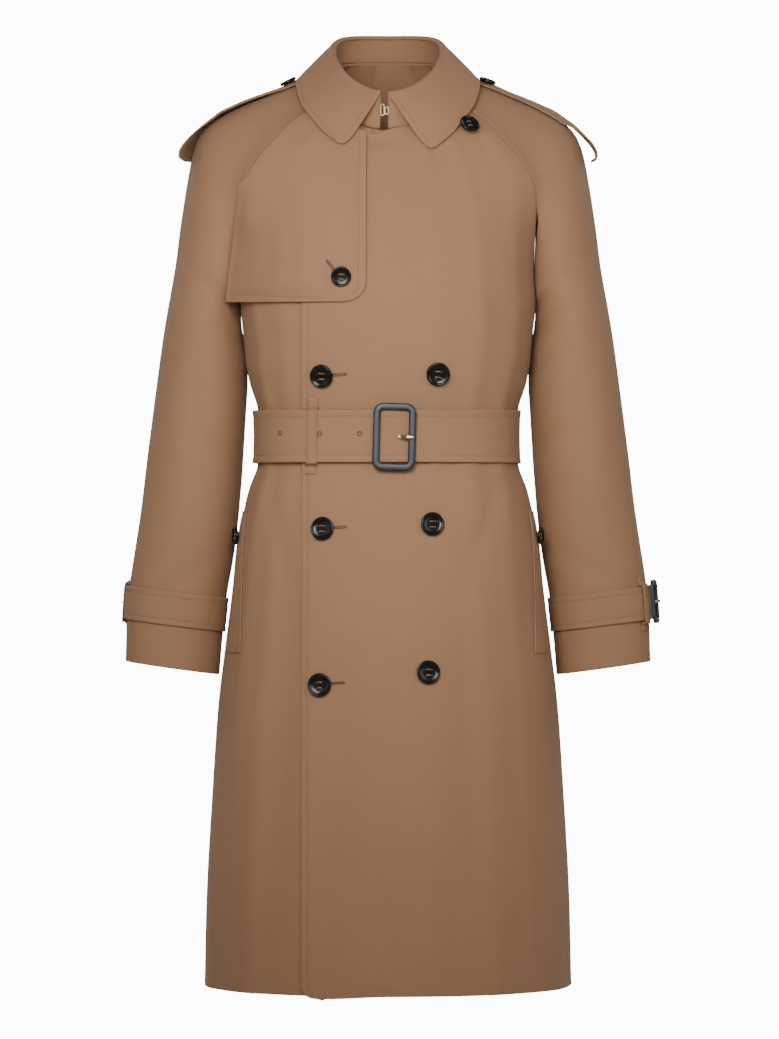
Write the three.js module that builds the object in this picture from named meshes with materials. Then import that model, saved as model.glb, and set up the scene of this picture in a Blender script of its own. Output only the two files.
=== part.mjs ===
// A belted double-breasted raglan trench coat, filled out as if worn, closed to the neck.
// Millimetres. +X is the wearer's left, the front faces -Y, +Z is up.
// The origin is at the neck, on the level of the collar's front corners, midway between front and back.
import * as THREE from 'three';

// Driving dimensions
const seamGap = 0.3;
const cloth = 2;
const flapCloth = 1.8;
const collarCloth = 2.4;
const standCloth = 3;
const beltCloth = 2.6;
const layerGap = 1.2;
const hemZ = -1068;
const underarmRow = 11;
const lastRow = 27;
const frontEdgeX = -101;
const underEdgeX = -92;
const beltTopZ = -379;
const beltBottomZ = -442;
const beltStep = 7.5;
const neckRows = 4;
const lapelFall = 15;
const hemFall = { drop: 4.5, fromRow: 25, reach: 110 };
const cuffRow = 21;
const frontButton = { diameter: 28, thickness: 4.5 };
const chestButton = { diameter: 24, thickness: 4 };
const strapButton = { diameter: 21, thickness: 4 };

// Neckline: an egg-shaped ring that rises from the front to the back
const neck = { halfWidth: 76, centreY: 8, halfDepth: 74, midZ: -1, rise: 46, sideLift: 21 };
const frontRaglanAngle = 66;
const topSeamAngle = 95;
const backRaglanAngle = 125;

// Front of the body: half width, front-most y, centre y and squareness at each height
const frontForm = [
  { z: -1068, halfWidth: 221, y: -168, centreY: 25, power: 2.05 },
  { z: -950, halfWidth: 218, y: -160, centreY: 23, power: 2.08 },
  { z: -830, halfWidth: 211, y: -152, centreY: 20, power: 2.1 },
  { z: -730, halfWidth: 204, y: -144, centreY: 17, power: 2.15 },
  { z: -660, halfWidth: 195.5, y: -137, centreY: 15, power: 2.2 },
  { z: -601, halfWidth: 188, y: -131, centreY: 12, power: 2.25 },
  { z: -541, halfWidth: 181, y: -124, centreY: 9, power: 2.3 },
  { z: -500, halfWidth: 173.5, y: -118, centreY: 6, power: 2.35 },
  { z: -470, halfWidth: 166, y: -113, centreY: 4, power: 2.35 },
  { z: -448, halfWidth: 157.5, y: -109, centreY: 3, power: 2.4 },
  { z: -425, halfWidth: 155, y: -107.5, centreY: 2, power: 2.4 },
  { z: -395, halfWidth: 155, y: -108, centreY: 2, power: 2.4 },
  { z: -372, halfWidth: 157.5, y: -111, centreY: 2, power: 2.4 },
  { z: -350, halfWidth: 165, y: -115, centreY: 2, power: 2.4 },
  { z: -325, halfWidth: 170, y: -118, centreY: 2, power: 2.45 },
  { z: -285, halfWidth: 174, y: -120, centreY: 2, power: 2.5 },
  { z: -250, halfWidth: 177.3, y: -120, centreY: 3, power: 2.5 },
  { z: -210, halfWidth: 176.8, y: -116, centreY: 6, power: 2.5 },
  { z: -170, halfWidth: 184, y: -108.5, centreY: 11, power: 2.5 },
  { z: -130, halfWidth: 206, y: -98, centreY: 17, power: 2.5 },
  { z: -104, halfWidth: 226, y: -90, centreY: 21, power: 2.5 },
  { z: -90, halfWidth: 234, y: -85, centreY: 23, power: 2.5 },
  { z: -70, halfWidth: 234, y: -77, centreY: 25, power: 2.5 },
  { z: -47, halfWidth: 222, y: -66, centreY: 25, power: 2.5 },
  { z: -35, halfWidth: 211, y: -56, centreY: 25, power: 2.5 },
  { z: -21, halfWidth: 192, y: -43.5, centreY: 25, power: 2.5 },
  { z: -11, halfWidth: 172, y: -33.5, centreY: 25, power: 2.5 },
  { z: -2.2, halfWidth: 152, y: -24, centreY: 25, power: 2.5 },
];

// Back of the body, the same columns
const backForm = [
  { z: -1068, halfWidth: 221, y: 176, centreY: 25, power: 2.05 },
  { z: -950, halfWidth: 218, y: 168, centreY: 23, power: 2.08 },
  { z: -830, halfWidth: 211, y: 158, centreY: 20, power: 2.1 },
  { z: -730, halfWidth: 204, y: 147, centreY: 17, power: 2.15 },
  { z: -660, halfWidth: 195.5, y: 139, centreY: 15, power: 2.2 },
  { z: -601, halfWidth: 188, y: 131, centreY: 12, power: 2.25 },
  { z: -541, halfWidth: 181, y: 122, centreY: 9, power: 2.3 },
  { z: -500, halfWidth: 173.5, y: 115, centreY: 6, power: 2.35 },
  { z: -470, halfWidth: 166, y: 109, centreY: 4, power: 2.35 },
  { z: -448, halfWidth: 157.5, y: 105, centreY: 3, power: 2.4 },
  { z: -425, halfWidth: 155, y: 103, centreY: 2, power: 2.4 },
  { z: -395, halfWidth: 155, y: 103, centreY: 2, power: 2.4 },
  { z: -372, halfWidth: 157.5, y: 106, centreY: 2, power: 2.4 },
  { z: -350, halfWidth: 165, y: 111, centreY: 2, power: 2.4 },
  { z: -325, halfWidth: 170, y: 115, centreY: 2, power: 2.45 },
  { z: -285, halfWidth: 174, y: 120, centreY: 2, power: 2.5 },
  { z: -250, halfWidth: 177.3, y: 123, centreY: 3, power: 2.5 },
  { z: -210, halfWidth: 182, y: 124, centreY: 6, power: 2.5 },
  { z: -170, halfWidth: 190, y: 123.5, centreY: 11, power: 2.5 },
  { z: -130, halfWidth: 199, y: 121, centreY: 17, power: 2.5 },
  { z: -100, halfWidth: 203, y: 118, centreY: 21.5, power: 2.5 },
  { z: -76, halfWidth: 196, y: 115, centreY: 24.5, power: 2.5 },
  { z: -50, halfWidth: 185, y: 111, centreY: 25, power: 2.5 },
  { z: -26, halfWidth: 162, y: 106, centreY: 25, power: 2.5 },
  { z: -6, halfWidth: 137.6, y: 101, centreY: 25, power: 2.5 },
  { z: 12, halfWidth: 110, y: 95.5, centreY: 25, power: 2.5 },
  { z: 27, halfWidth: 86.8, y: 90, centreY: 25, power: 2.5 },
  { z: 39.5, halfWidth: 65.5, y: 84.5, centreY: 25, power: 2.5 },
  { z: 45, halfWidth: 56, y: 82, centreY: 25, power: 2.5 },
];

// Armhole stations from the neckline to the underarm: both raglan seams and the level at mid front and back
const raglan = [
  { row: 0, frontX: 69.4, frontZ: -2.2, midFrontZ: -47, backX: 62.3, backZ: 39.5, midBackZ: 45 },
  { row: 1, frontX: 84, frontZ: -11, midFrontZ: -57, backX: 80, backZ: 27, midBackZ: 34 },
  { row: 2, frontX: 100, frontZ: -21, midFrontZ: -68, backX: 98, backZ: 12, midBackZ: 20 },
  { row: 3, frontX: 119, frontZ: -35, midFrontZ: -82, backX: 117, backZ: -6, midBackZ: 3 },
  { row: 4, frontX: 133, frontZ: -51, midFrontZ: -97, backX: 134, backZ: -26, midBackZ: -16 },
  { row: 5, frontX: 150.5, frontZ: -70, midFrontZ: -113, backX: 150, backZ: -50, midBackZ: -38 },
  { row: 6, frontX: 163, frontZ: -88, midFrontZ: -130, backX: 162, backZ: -76, midBackZ: -62 },
  { row: 7, frontX: 173, frontZ: -104, midFrontZ: -146, backX: 172, backZ: -100, midBackZ: -88 },
  { row: 8, frontX: 178, frontZ: -130, midFrontZ: -166, backX: 178, backZ: -130, midBackZ: -120 },
  { row: 9, frontX: 177, frontZ: -170, midFrontZ: -192, backX: 178, backZ: -170, midBackZ: -164 },
  { row: 10, frontX: 175.5, frontZ: -212, midFrontZ: -220, backX: 176.5, backZ: -212, midBackZ: -207 },
  { row: 11, frontX: 177.3, frontZ: -250, midFrontZ: -250, backX: 177.3, backZ: -250, midBackZ: -250 },
];

// Levels of the body below the underarm
const lowerLevels = [
  { row: 11, z: -250 },
  { row: 12, z: -285 },
  { row: 13, z: -325 },
  { row: 14, z: -350 },
  { row: 15, z: -372 },
  { row: 16, z: -395 },
  { row: 17, z: -425 },
  { row: 18, z: -448 },
  { row: 19, z: -470 },
  { row: 20, z: -500 },
  { row: 21, z: -541 },
  { row: 22, z: -601 },
  { row: 23, z: -660 },
  { row: 24, z: -730 },
  { row: 25, z: -810 },
  { row: 26, z: -940 },
  { row: 27, z: hemZ },
];

// Sleeve: the top seam, the depth of its front and back halfway round, and how far it follows the shoulder
const sleeveForm = [
  { row: 0, topX: 75.7, topY: 14.4, topZ: 23.8, frontY: -4.2, backY: 33, cap: 1 },
  { row: 1, topX: 100, topY: 17, topZ: 17.5, frontY: -10, backY: 40, cap: 1 },
  { row: 2, topX: 125, topY: 19, topZ: 9, frontY: -15, backY: 47, cap: 1 },
  { row: 3, topX: 150, topY: 21, topZ: -1, frontY: -19, backY: 53, cap: 1 },
  { row: 4, topX: 174, topY: 23, topZ: -10.5, frontY: -23, backY: 59, cap: 0.95 },
  { row: 5, topX: 197, topY: 25, topZ: -22, frontY: -27, backY: 65, cap: 0.85 },
  { row: 6, topX: 215, topY: 26, topZ: -34, frontY: -31, backY: 72, cap: 0.7 },
  { row: 7, topX: 227, topY: 27, topZ: -48, frontY: -35, backY: 79, cap: 0.55 },
  { row: 8, topX: 236, topY: 28, topZ: -72, frontY: -40, backY: 88, cap: 0.35 },
  { row: 9, topX: 243.5, topY: 29, topZ: -112, frontY: -45, backY: 97, cap: 0.15 },
  { row: 10, topX: 250.5, topY: 30, topZ: -158, frontY: -46, backY: 103, cap: 0.05 },
  { row: 11, topX: 256.5, topY: 30, topZ: -205, frontY: -44, backY: 105, cap: 0 },
  { row: 12, topX: 264.5, topY: 31, topZ: -250, frontY: -42, backY: 105, cap: 0 },
  { row: 13, topX: 271, topY: 33, topZ: -288, frontY: -39, backY: 104, cap: 0 },
  { row: 14, topX: 276.5, topY: 34, topZ: -327, frontY: -36, backY: 102, cap: 0 },
  { row: 15, topX: 284, topY: 36, topZ: -383, frontY: -31, backY: 99, cap: 0 },
  { row: 16, topX: 291, topY: 38, topZ: -437, frontY: -26, backY: 97, cap: 0 },
  { row: 17, topX: 298, topY: 40, topZ: -495, frontY: -18, backY: 95, cap: 0 },
  { row: 18, topX: 305, topY: 42, topZ: -541, frontY: -11, backY: 93, cap: 0 },
  { row: 19, topX: 311.5, topY: 44, topZ: -583, frontY: -5, backY: 92, cap: 0 },
  { row: 20, topX: 315.5, topY: 45, topZ: -628, frontY: -1, backY: 91, cap: 0 },
  { row: 21, topX: 317.5, topY: 47, topZ: -680, frontY: 2, backY: 91, cap: 0 },
];

// Underarm seam of the sleeve, from the underarm to the cuff
const underarmSeam = [
  { row: 11, x: 177.3, y: 3, z: -250 },
  { row: 12, x: 175.6, y: 17, z: -278 },
  { row: 13, x: 171.3, y: 29, z: -307 },
  { row: 14, x: 169, y: 34, z: -342 },
  { row: 15, x: 172, y: 36, z: -396 },
  { row: 16, x: 175.3, y: 38, z: -450 },
  { row: 17, x: 180.5, y: 40, z: -510 },
  { row: 18, x: 186.5, y: 42, z: -556 },
  { row: 19, x: 194, y: 44, z: -598 },
  { row: 20, x: 199, y: 45, z: -643 },
  { row: 21, x: 203.5, y: 47, z: -696 },
];

// Soft vertical folds of the skirt: place round the body in degrees, half width, height and reach
const skirtFolds = [
  { angle: 34, halfWidth: 9, height: 3, top: -480, bottom: -1068 },
  { angle: 62, halfWidth: 10, height: 4.5, top: -500, bottom: -1068 },
  { angle: -50, halfWidth: 9, height: 4, top: -470, bottom: -1068 },
  { angle: -72, halfWidth: 8, height: 3, top: -560, bottom: -1068 },
  { angle: 128, halfWidth: 12, height: 6, top: -470, bottom: -1068 },
  { angle: 160, halfWidth: 10, height: 5, top: -480, bottom: -1068 },
  { angle: -145, halfWidth: 12, height: 6, top: -470, bottom: -1068 },
  { angle: -112, halfWidth: 9, height: 4, top: -540, bottom: -1068 },
];

const radians = (degrees) => (degrees * Math.PI) / 180;
const mix = (a, b, t) => a + (b - a) * t;
const clamp = (value, low, high) => Math.min(high, Math.max(low, value));

function smoothStep(low, high, value) {
  const t = clamp((value - low) / (high - low), 0, 1);
  return t * t * (3 - 2 * t);
}

// Smooth value of one column of a table, read at a place along the column `by`
function read(table, by, key, place) {
  const rising = table[1][by] > table[0][by];
  let i = 0;
  while (i < table.length - 2 && (rising ? place > table[i + 1][by] : place < table[i + 1][by])) {
    i += 1;
  }
  const slope = (k) => {
    const before = table[Math.max(k - 1, 0)];
    const after = table[Math.min(k + 1, table.length - 1)];
    return (after[key] - before[key]) / (after[by] - before[by]);
  };
  const [a, b] = [table[i], table[i + 1]];
  const span = b[by] - a[by];
  const t = (place - a[by]) / span;
  const t2 = t * t;
  const t3 = t2 * t;
  return (2 * t3 - 3 * t2 + 1) * a[key] + (t3 - 2 * t2 + t) * span * slope(i)
    + (3 * t2 - 2 * t3) * b[key] + (t3 - t2) * span * slope(i + 1);
}

function neckPoint(angle) {
  const a = radians(angle);
  const z = neck.midZ - neck.rise * Math.cos(a) + neck.sideLift * Math.sin(a) ** 2;
  return new THREE.Vector3(neck.halfWidth * Math.sin(a), neck.centreY - neck.halfDepth * Math.cos(a), z);
}

function foldHeight(angle, z) {
  let height = 0;
  for (const fold of skirtFolds) {
    const away = (angle - fold.angle) / fold.halfWidth;
    height += fold.height * Math.exp(-away * away) * smoothStep(fold.top, fold.bottom, z);
  }
  return height;
}

// Point of the body's outer form at an angle round it: 0 is mid front, 90 the side, 180 mid back
// The form is drawn for the wearer's left, and `side` tells for which side its folds are read
function bodyPoint(angle, z, side = 1) {
  const front = Math.abs(angle) <= 90;
  const form = front ? frontForm : backForm;
  const halfWidth = read(form, 'z', 'halfWidth', z);
  const centreY = read(form, 'z', 'centreY', z);
  const depth = Math.abs(read(form, 'z', 'y', z) - centreY);
  const power = read(form, 'z', 'power', z);
  const s = Math.abs(Math.sin(radians(angle)));
  const c = Math.abs(Math.cos(radians(angle)));
  const reach = (s ** power + c ** power) ** (-1 / power);
  const lift = foldHeight(angle * side, z);
  const x = Math.sign(angle) * s * (reach * halfWidth + lift);
  const y = centreY + (front ? -1 : 1) * c * (reach * depth + lift);
  return new THREE.Vector3(x, y, z);
}

// Angle at which the body's form is at half breadth x on level z
function angleAt(form, x, z) {
  const power = read(form, 'z', 'power', z);
  const share = Math.min(Math.abs(x) / read(form, 'z', 'halfWidth', z), 1);
  const away = (1 - share ** power) ** (1 / power);
  return (Math.sign(x) * Math.atan2(share, away) * 180) / Math.PI;
}

// How much of the neckline's own shape is still felt at a row
const neckPull = (row) => clamp(1 - row / neckRows, 0, 1) ** 2;

// Front panel of the wearer's left, from its free front edge (across = 0) to its seam (across = 1)
function frontPoint(row, across, edgeX, side = 1) {
  const low = row >= underarmRow;
  const midZ = low ? read(lowerLevels, 'row', 'z', row) : read(raglan, 'row', 'midFrontZ', row);
  const seamZ = low ? midZ : read(raglan, 'row', 'frontZ', row);
  const seamX = low ? Infinity : read(raglan, 'row', 'frontX', row);
  const seamAngle = angleAt(frontForm, seamX, seamZ);
  const edgeAngle = angleAt(frontForm, edgeX, midZ);
  const angle = mix(edgeAngle, seamAngle, across);
  const share = clamp(angle / seamAngle, 0, 1);
  const lapelDrop = angle < 0 && !low ? lapelFall * neckPull(row) * (angle / edgeAngle) ** 2 : 0;
  const point = bodyPoint(angle, mix(midZ, seamZ, share * share) - lapelDrop, side);
  if (row > hemFall.fromRow && side > 0) {
    const nearEdge = 1 - smoothStep(0, hemFall.reach, point.x - edgeX);
    point.z -= hemFall.drop * nearEdge * smoothStep(hemFall.fromRow, lastRow, row);
  }
  if (row < neckRows) {
    const topAngle = angleAt(frontForm, raglan[0].frontX, raglan[0].frontZ);
    const top = bodyPoint(topAngle * share, mix(raglan[0].midFrontZ, raglan[0].frontZ, share * share));
    point.add(neckPoint(frontRaglanAngle * share).sub(top).multiplyScalar(neckPull(row)));
  }
  return point;
}

// Back panel, from its right seam (across = 0) to its left seam (across = 1)
function backPoint(row, across) {
  const low = row >= underarmRow;
  const midZ = low ? read(lowerLevels, 'row', 'z', row) : read(raglan, 'row', 'midBackZ', row);
  const seamZ = low ? midZ : read(raglan, 'row', 'backZ', row);
  const seamX = low ? Infinity : read(raglan, 'row', 'backX', row);
  const seamAngle = angleAt(backForm, seamX, seamZ);
  const signed = 2 * across - 1;
  const share = Math.abs(signed);
  const side = signed < 0 ? -1 : 1;
  const point = bodyPoint(side * (180 - seamAngle * share), mix(midZ, seamZ, share * share));
  if (row < neckRows) {
    const topAngle = angleAt(backForm, raglan[0].backX, raglan[0].backZ);
    const level = mix(raglan[0].midBackZ, raglan[0].backZ, share * share);
    const top = bodyPoint(side * (180 - topAngle * share), level);
    const ring = neckPoint(side * mix(180, backRaglanAngle, share));
    point.add(ring.sub(top).multiplyScalar(neckPull(row)));
  }
  return point;
}

// Half round of the left sleeve at a row, from its body or underarm seam to its top seam
function sleeveCurve(half, row) {
  const front = half === 'front';
  let start = new THREE.Vector3(...['x', 'y', 'z'].map((key) => read(underarmSeam, 'row', key, row)));
  if (row <= underarmRow) {
    start = front ? frontPoint(row, 1, frontEdgeX) : backPoint(row, 1);
  }
  const end = new THREE.Vector3(...['topX', 'topY', 'topZ'].map((key) => read(sleeveForm, 'row', key, row)));
  const middleY = read(sleeveForm, 'row', front ? 'frontY' : 'backY', row);
  const cap = clamp(read(sleeveForm, 'row', 'cap', row), 0, 1);
  const handleY = ((middleY - (start.y + end.y) / 8) * 4) / 3;
  const first = start.clone().lerp(end, 0.4 * cap).setY(handleY);
  const second = end.clone().lerp(start, 0.1 * cap).setY(handleY);
  return new THREE.CubicBezierCurve3(start, first, second, end);
}

function sleevePoint(half, row, across) {
  const point = sleeveCurve(half, row).getPoint(across);
  if (row < neckRows) {
    const ring = neckPoint(mix(half === 'front' ? frontRaglanAngle : backRaglanAngle, topSeamAngle, across));
    point.add(ring.sub(sleeveCurve(half, 0).getPoint(across)).multiplyScalar(neckPull(row)));
  }
  return point;
}

// A grid of points with a normal at each, `outside` telling which way is out
function makeGrid(rows, columns, pointAt, outside) {
  const points = [];
  for (let i = 0; i <= rows; i += 1) {
    points.push([]);
    for (let j = 0; j <= columns; j += 1) {
      points[i].push(pointAt(i / rows, j / columns));
    }
  }
  const normals = points.map((line, i) => line.map((_, j) => {
    const down = points[Math.min(i + 1, rows)][j].clone().sub(points[Math.max(i - 1, 0)][j]);
    const along = points[i][Math.min(j + 1, columns)].clone().sub(points[i][Math.max(j - 1, 0)]);
    return along.cross(down).normalize().multiplyScalar(outside);
  }));
  return { points, normals, rows, columns };
}

// Gives the places where pieces meet one common normal
function shareNormal(places) {
  const sum = new THREE.Vector3();
  for (const [grid, i, j] of places) {
    sum.add(grid.normals[i][j]);
  }
  sum.normalize();
  for (const [grid, i, j] of places) {
    grid.normals[i][j] = sum.clone();
  }
}

// Draws one edge of a grid back from the seam
function easeEdge(grid, edge, amount = () => seamGap / 2) {
  const { points, rows, columns } = grid;
  const inward = {
    top: [0, null, 1, 0], bottom: [rows, null, -1, 0], first: [null, 0, 0, 1], last: [null, columns, 0, -1],
  }[edge];
  const count = inward[0] === null ? rows : columns;
  for (let k = 0; k <= count; k += 1) {
    const i = inward[0] === null ? k : inward[0];
    const j = inward[1] === null ? k : inward[1];
    const step = points[i + inward[2]][j + inward[3]].clone().sub(points[i][j]).setLength(amount(k));
    points[i][j].add(step);
  }
}

// Closed wall on a grid: its outer face lies `offset` outside the grid and it is `thickness` thick
function makeWall(grid, thickness, offset = () => 0) {
  const { points, normals, rows, columns } = grid;
  const width = columns + 1;
  const layer = width * (rows + 1);
  const positions = new Float32Array(2 * layer * 3);
  for (let i = 0; i <= rows; i += 1) {
    for (let j = 0; j <= columns; j += 1) {
      const out = offset(points[i][j], i, j);
      const k = (i * width + j) * 3;
      points[i][j].clone().addScaledVector(normals[i][j], out).toArray(positions, k);
      points[i][j].clone().addScaledVector(normals[i][j], out - thickness).toArray(positions, k + layer * 3);
    }
  }
  const outer = [];
  const faces = [];
  const quad = (a, b, c, d) => faces.push(a, b, c, a, c, d);
  for (let i = 0; i < rows; i += 1) {
    for (let j = 0; j < columns; j += 1) {
      const k = i * width + j;
      const across = points[i][j].clone().add(points[i + 1][j + 1]);
      const bulge = points[i][j + 1].clone().add(points[i + 1][j]).sub(across).dot(normals[i][j]);
      const corners = [k, k + 1, k + width + 1, k + width];
      const turn = bulge > 0 ? 1 : 0;
      const [a, b, c, d] = corners.map((_, n) => corners[(n + turn) % 4]);
      outer.push(a, b, c, a, c, d);
      faces.push(a + layer, c + layer, b + layer, a + layer, d + layer, c + layer);
    }
  }
  for (let j = 0; j < columns; j += 1) {
    const k = rows * width + j;
    quad(j, j + layer, j + layer + 1, j + 1);
    quad(k, k + 1, k + layer + 1, k + layer);
  }
  for (let i = 0; i < rows; i += 1) {
    const k = i * width;
    quad(k, k + width, k + width + layer, k + layer);
    quad(k + columns, k + columns + layer, k + columns + layer + width, k + columns + width);
  }
  return closedBody(positions, [...outer, ...faces], outer.length);
}

// Geometry from points and faces, turned so that its faces look outward; the first ones are its outer face
function closedBody(positions, faces, outerCount) {
  let volume = 0;
  const corner = [0, 1, 2].map(() => new THREE.Vector3());
  for (let f = 0; f < faces.length; f += 3) {
    corner.forEach((v, k) => v.fromArray(positions, faces[f + k] * 3));
    volume += corner[0].dot(corner[1].clone().cross(corner[2]));
  }
  const index = volume > 0 ? faces : faces.map((_, k) => faces[k - (k % 3) + 2 - (k % 3)]);
  const geometry = new THREE.BufferGeometry();
  geometry.setAttribute('position', new THREE.BufferAttribute(positions, 3));
  geometry.setIndex(index);
  geometry.computeVertexNormals();
  geometry.userData = { positions, outerFaces: index.slice(0, outerCount) };
  return geometry;
}

const group = new THREE.Group();

function add(name, geometry, look) {
  const mesh = new THREE.Mesh(geometry, new THREE.MeshStandardMaterial(look));
  mesh.name = name;
  group.add(mesh);
  return mesh;
}

const gabardine = { color: 0xa58468, roughness: 0.85, metalness: 0 };
const gabardineShade = { color: 0x9a7a5f, roughness: 0.85, metalness: 0 };
const horn = { color: 0x231c19, roughness: 0.3, metalness: 0 };
const leather = { color: 0x23262d, roughness: 0.45, metalness: 0 };
const paleGold = { color: 0xc9b58c, roughness: 0.3, metalness: 1 };

// The shell: two fronts, the back and four sleeve pieces
const mirror = (point, side) => point.setX(point.x * side);
const underarmEase = 2.4;
const frontColumns = 12;
const backColumns = 18;
const sleeveColumns = 7;

const leftFrontPoint = (v, u) => frontPoint(v * lastRow, u, frontEdgeX);
const rightFrontPoint = (v, u) => mirror(frontPoint(v * lastRow, u, underEdgeX, -1), -1);
const fronts = {
  left: makeGrid(lastRow, frontColumns, leftFrontPoint, -1),
  right: makeGrid(lastRow, frontColumns, rightFrontPoint, 1),
};
const back = makeGrid(lastRow, backColumns, (v, u) => backPoint(v * lastRow, u), 1);
const sleeves = {};
for (const [side, sign] of [['left', 1], ['right', -1]]) {
  sleeves[side] = {};
  for (const [half, outside] of [['front', -sign], ['back', sign]]) {
    const pointAt = (v, u) => mirror(sleevePoint(half, v * cuffRow, u), sign);
    sleeves[side][half] = makeGrid(cuffRow, sleeveColumns, pointAt, outside);
  }
}

for (const [side, backEdge] of [['left', backColumns], ['right', 0]]) {
  const front = fronts[side];
  const sleeve = sleeves[side];
  for (let i = 0; i < underarmRow; i += 1) {
    shareNormal([[front, i, frontColumns], [sleeve.front, i, 0]]);
    shareNormal([[back, i, backEdge], [sleeve.back, i, 0]]);
  }
  const cross = underarmRow;
  const bodyCorners = [[front, cross, frontColumns], [back, cross, backEdge]];
  shareNormal([...bodyCorners, [sleeve.front, cross, 0], [sleeve.back, cross, 0]]);
  for (let i = underarmRow + 1; i <= lastRow; i += 1) {
    shareNormal([[front, i, frontColumns], [back, i, backEdge]]);
  }
  for (let i = 0; i <= cuffRow; i += 1) {
    shareNormal([[sleeve.front, i, sleeveColumns], [sleeve.back, i, sleeveColumns]]);
    if (i > underarmRow) {
      shareNormal([[sleeve.front, i, 0], [sleeve.back, i, 0]]);
    }
  }
  easeEdge(front, 'last');
  for (const half of ['front', 'back']) {
    easeEdge(sleeve[half], 'first', (i) => (Math.abs(i - underarmRow) < 2 ? underarmEase : 1) * seamGap);
    easeEdge(sleeve[half], 'last');
    easeEdge(sleeve[half], 'top');
  }
  easeEdge(front, 'top');
}
easeEdge(back, 'first');
easeEdge(back, 'last');
easeEdge(back, 'top');

// The left front lies over the right one and comes down to the common level at its seam
const overlapLift = layerGap + cloth;
const liftEnd = { pastEdge: 2, shortest: 12, beforeSeam: 1 };
function leftFrontLift(point, i) {
  const seamX = fronts.left.points[i][frontColumns].x;
  const from = Math.min(liftEnd.pastEdge - underEdgeX, seamX - liftEnd.shortest);
  return overlapLift * (1 - smoothStep(from, seamX - liftEnd.beforeSeam, point.x));
}

add('front_left', makeWall(fronts.left, cloth, leftFrontLift), gabardine);
add('front_right', makeWall(fronts.right, cloth), gabardine);
add('back', makeWall(back, cloth), gabardine);
for (const side of ['left', 'right']) {
  for (const half of ['front', 'back']) {
    add(`sleeve_${side}_${half}`, makeWall(sleeves[side][half], cloth), gabardineShade);
  }
}

// Nearest place where a ray meets the outer faces of some walls, with the face's normal
function landOn(walls, from, direction) {
  const ray = new THREE.Ray(from, direction.clone().normalize());
  const corner = [0, 1, 2].map(() => new THREE.Vector3());
  const hit = new THREE.Vector3();
  let best = null;
  for (const wall of walls) {
    const { positions, outerFaces } = wall.userData;
    for (let f = 0; f < outerFaces.length; f += 3) {
      corner.forEach((v, k) => v.fromArray(positions, outerFaces[f + k] * 3));
      if (ray.intersectTriangle(...corner, false, hit) && (!best || hit.distanceTo(from) < best.distance)) {
        const normal = corner[1].clone().sub(corner[0]).cross(corner[2].clone().sub(corner[0])).normalize();
        normal.multiplyScalar(normal.dot(ray.direction) > 0 ? -1 : 1);
        best = { point: hit.clone(), normal, distance: hit.distanceTo(from) };
      }
    }
  }
  return best;
}

const far = 2000;
const backwards = new THREE.Vector3(0, 1, 0);
const downwards = new THREE.Vector3(0, 0, -1);
const seenAt = (walls, x, z) => landOn(walls, new THREE.Vector3(x, -far, z), backwards);
const seenFromAbove = (walls, x, y) => landOn(walls, new THREE.Vector3(x, y, far), downwards);

// The gun flap hangs from the neckline and the right raglan seam, over the chest and the sleeve's front
const flap = {
  rows: 12, columns: 11, innerX: -26, topZ: -49, bottomZ: -252, corner: 24, clear: 1.2, spread: 8,
  seamShare: 0.42, seamRows: 7, seamDrop: 5, bend: 1.5, drawPasses: 40,
  outerTop: { x: -177, z: -110 }, outerBottom: { x: -194, z: -250 },
};
function flapPlace(down, across) {
  const outer = new THREE.Vector2();
  if (down < flap.seamShare) {
    const row = (down / flap.seamShare) * flap.seamRows;
    outer.set(1 - read(raglan, 'row', 'frontX', row), read(raglan, 'row', 'frontZ', row) - flap.seamDrop);
  } else {
    const t = (down - flap.seamShare) / (1 - flap.seamShare);
    outer.set(mix(flap.outerTop.x, flap.outerBottom.x, t), mix(flap.outerTop.z, flap.outerBottom.z, t));
  }
  const z = mix(flap.topZ, flap.bottomZ, down);
  const intoCorner = Math.max(flap.corner - (z - flap.bottomZ), 0);
  const inner = flap.innerX - (flap.corner - Math.sqrt(flap.corner ** 2 - intoCorner ** 2));
  return new THREE.Vector2(mix(inner, outer.x, across), mix(z, outer.y, across ** flap.bend));
}
// The furthest forward that the walls come round a place
function foremost(walls, place) {
  let y = Infinity;
  for (const dx of [-1, 0, 1]) {
    for (const dz of [-1, 0, 1]) {
      const seen = seenAt(walls, place.x + dx * flap.spread, place.y + dz * flap.spread);
      y = Math.min(y, seen ? seen.point.y : Infinity);
    }
  }
  return y;
}
// Depths over the walls, drawn straight across the hollows between them
function flapGrid(walls) {
  const lines = [];
  for (let i = 0; i <= flap.rows; i += 1) {
    const line = Array.from({ length: flap.columns + 1 }, (_, j) => {
      const place = flapPlace(i / flap.rows, j / flap.columns);
      return new THREE.Vector3(place.x, foremost(walls, place), place.y);
    });
    for (let pass = 0; pass < flap.drawPasses; pass += 1) {
      for (let j = 1; j < flap.columns; j += 1) {
        line[j].y = Math.min(line[j].y, (line[j - 1].y + line[j + 1].y) / 2);
      }
    }
    lines.push(line);
  }
  const pointAt = (v, u) => lines[Math.round(v * flap.rows)][Math.round(u * flap.columns)];
  return makeGrid(flap.rows, flap.columns, pointAt, 1);
}

const wallOf = (name) => group.children.find((mesh) => mesh.name === name).geometry;
const chest = ['front_left', 'front_right', 'sleeve_right_front'].map(wallOf);
add('gun_flap', makeWall(flapGrid(chest), flapCloth, () => flap.clear + flapCloth), gabardine);

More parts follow.
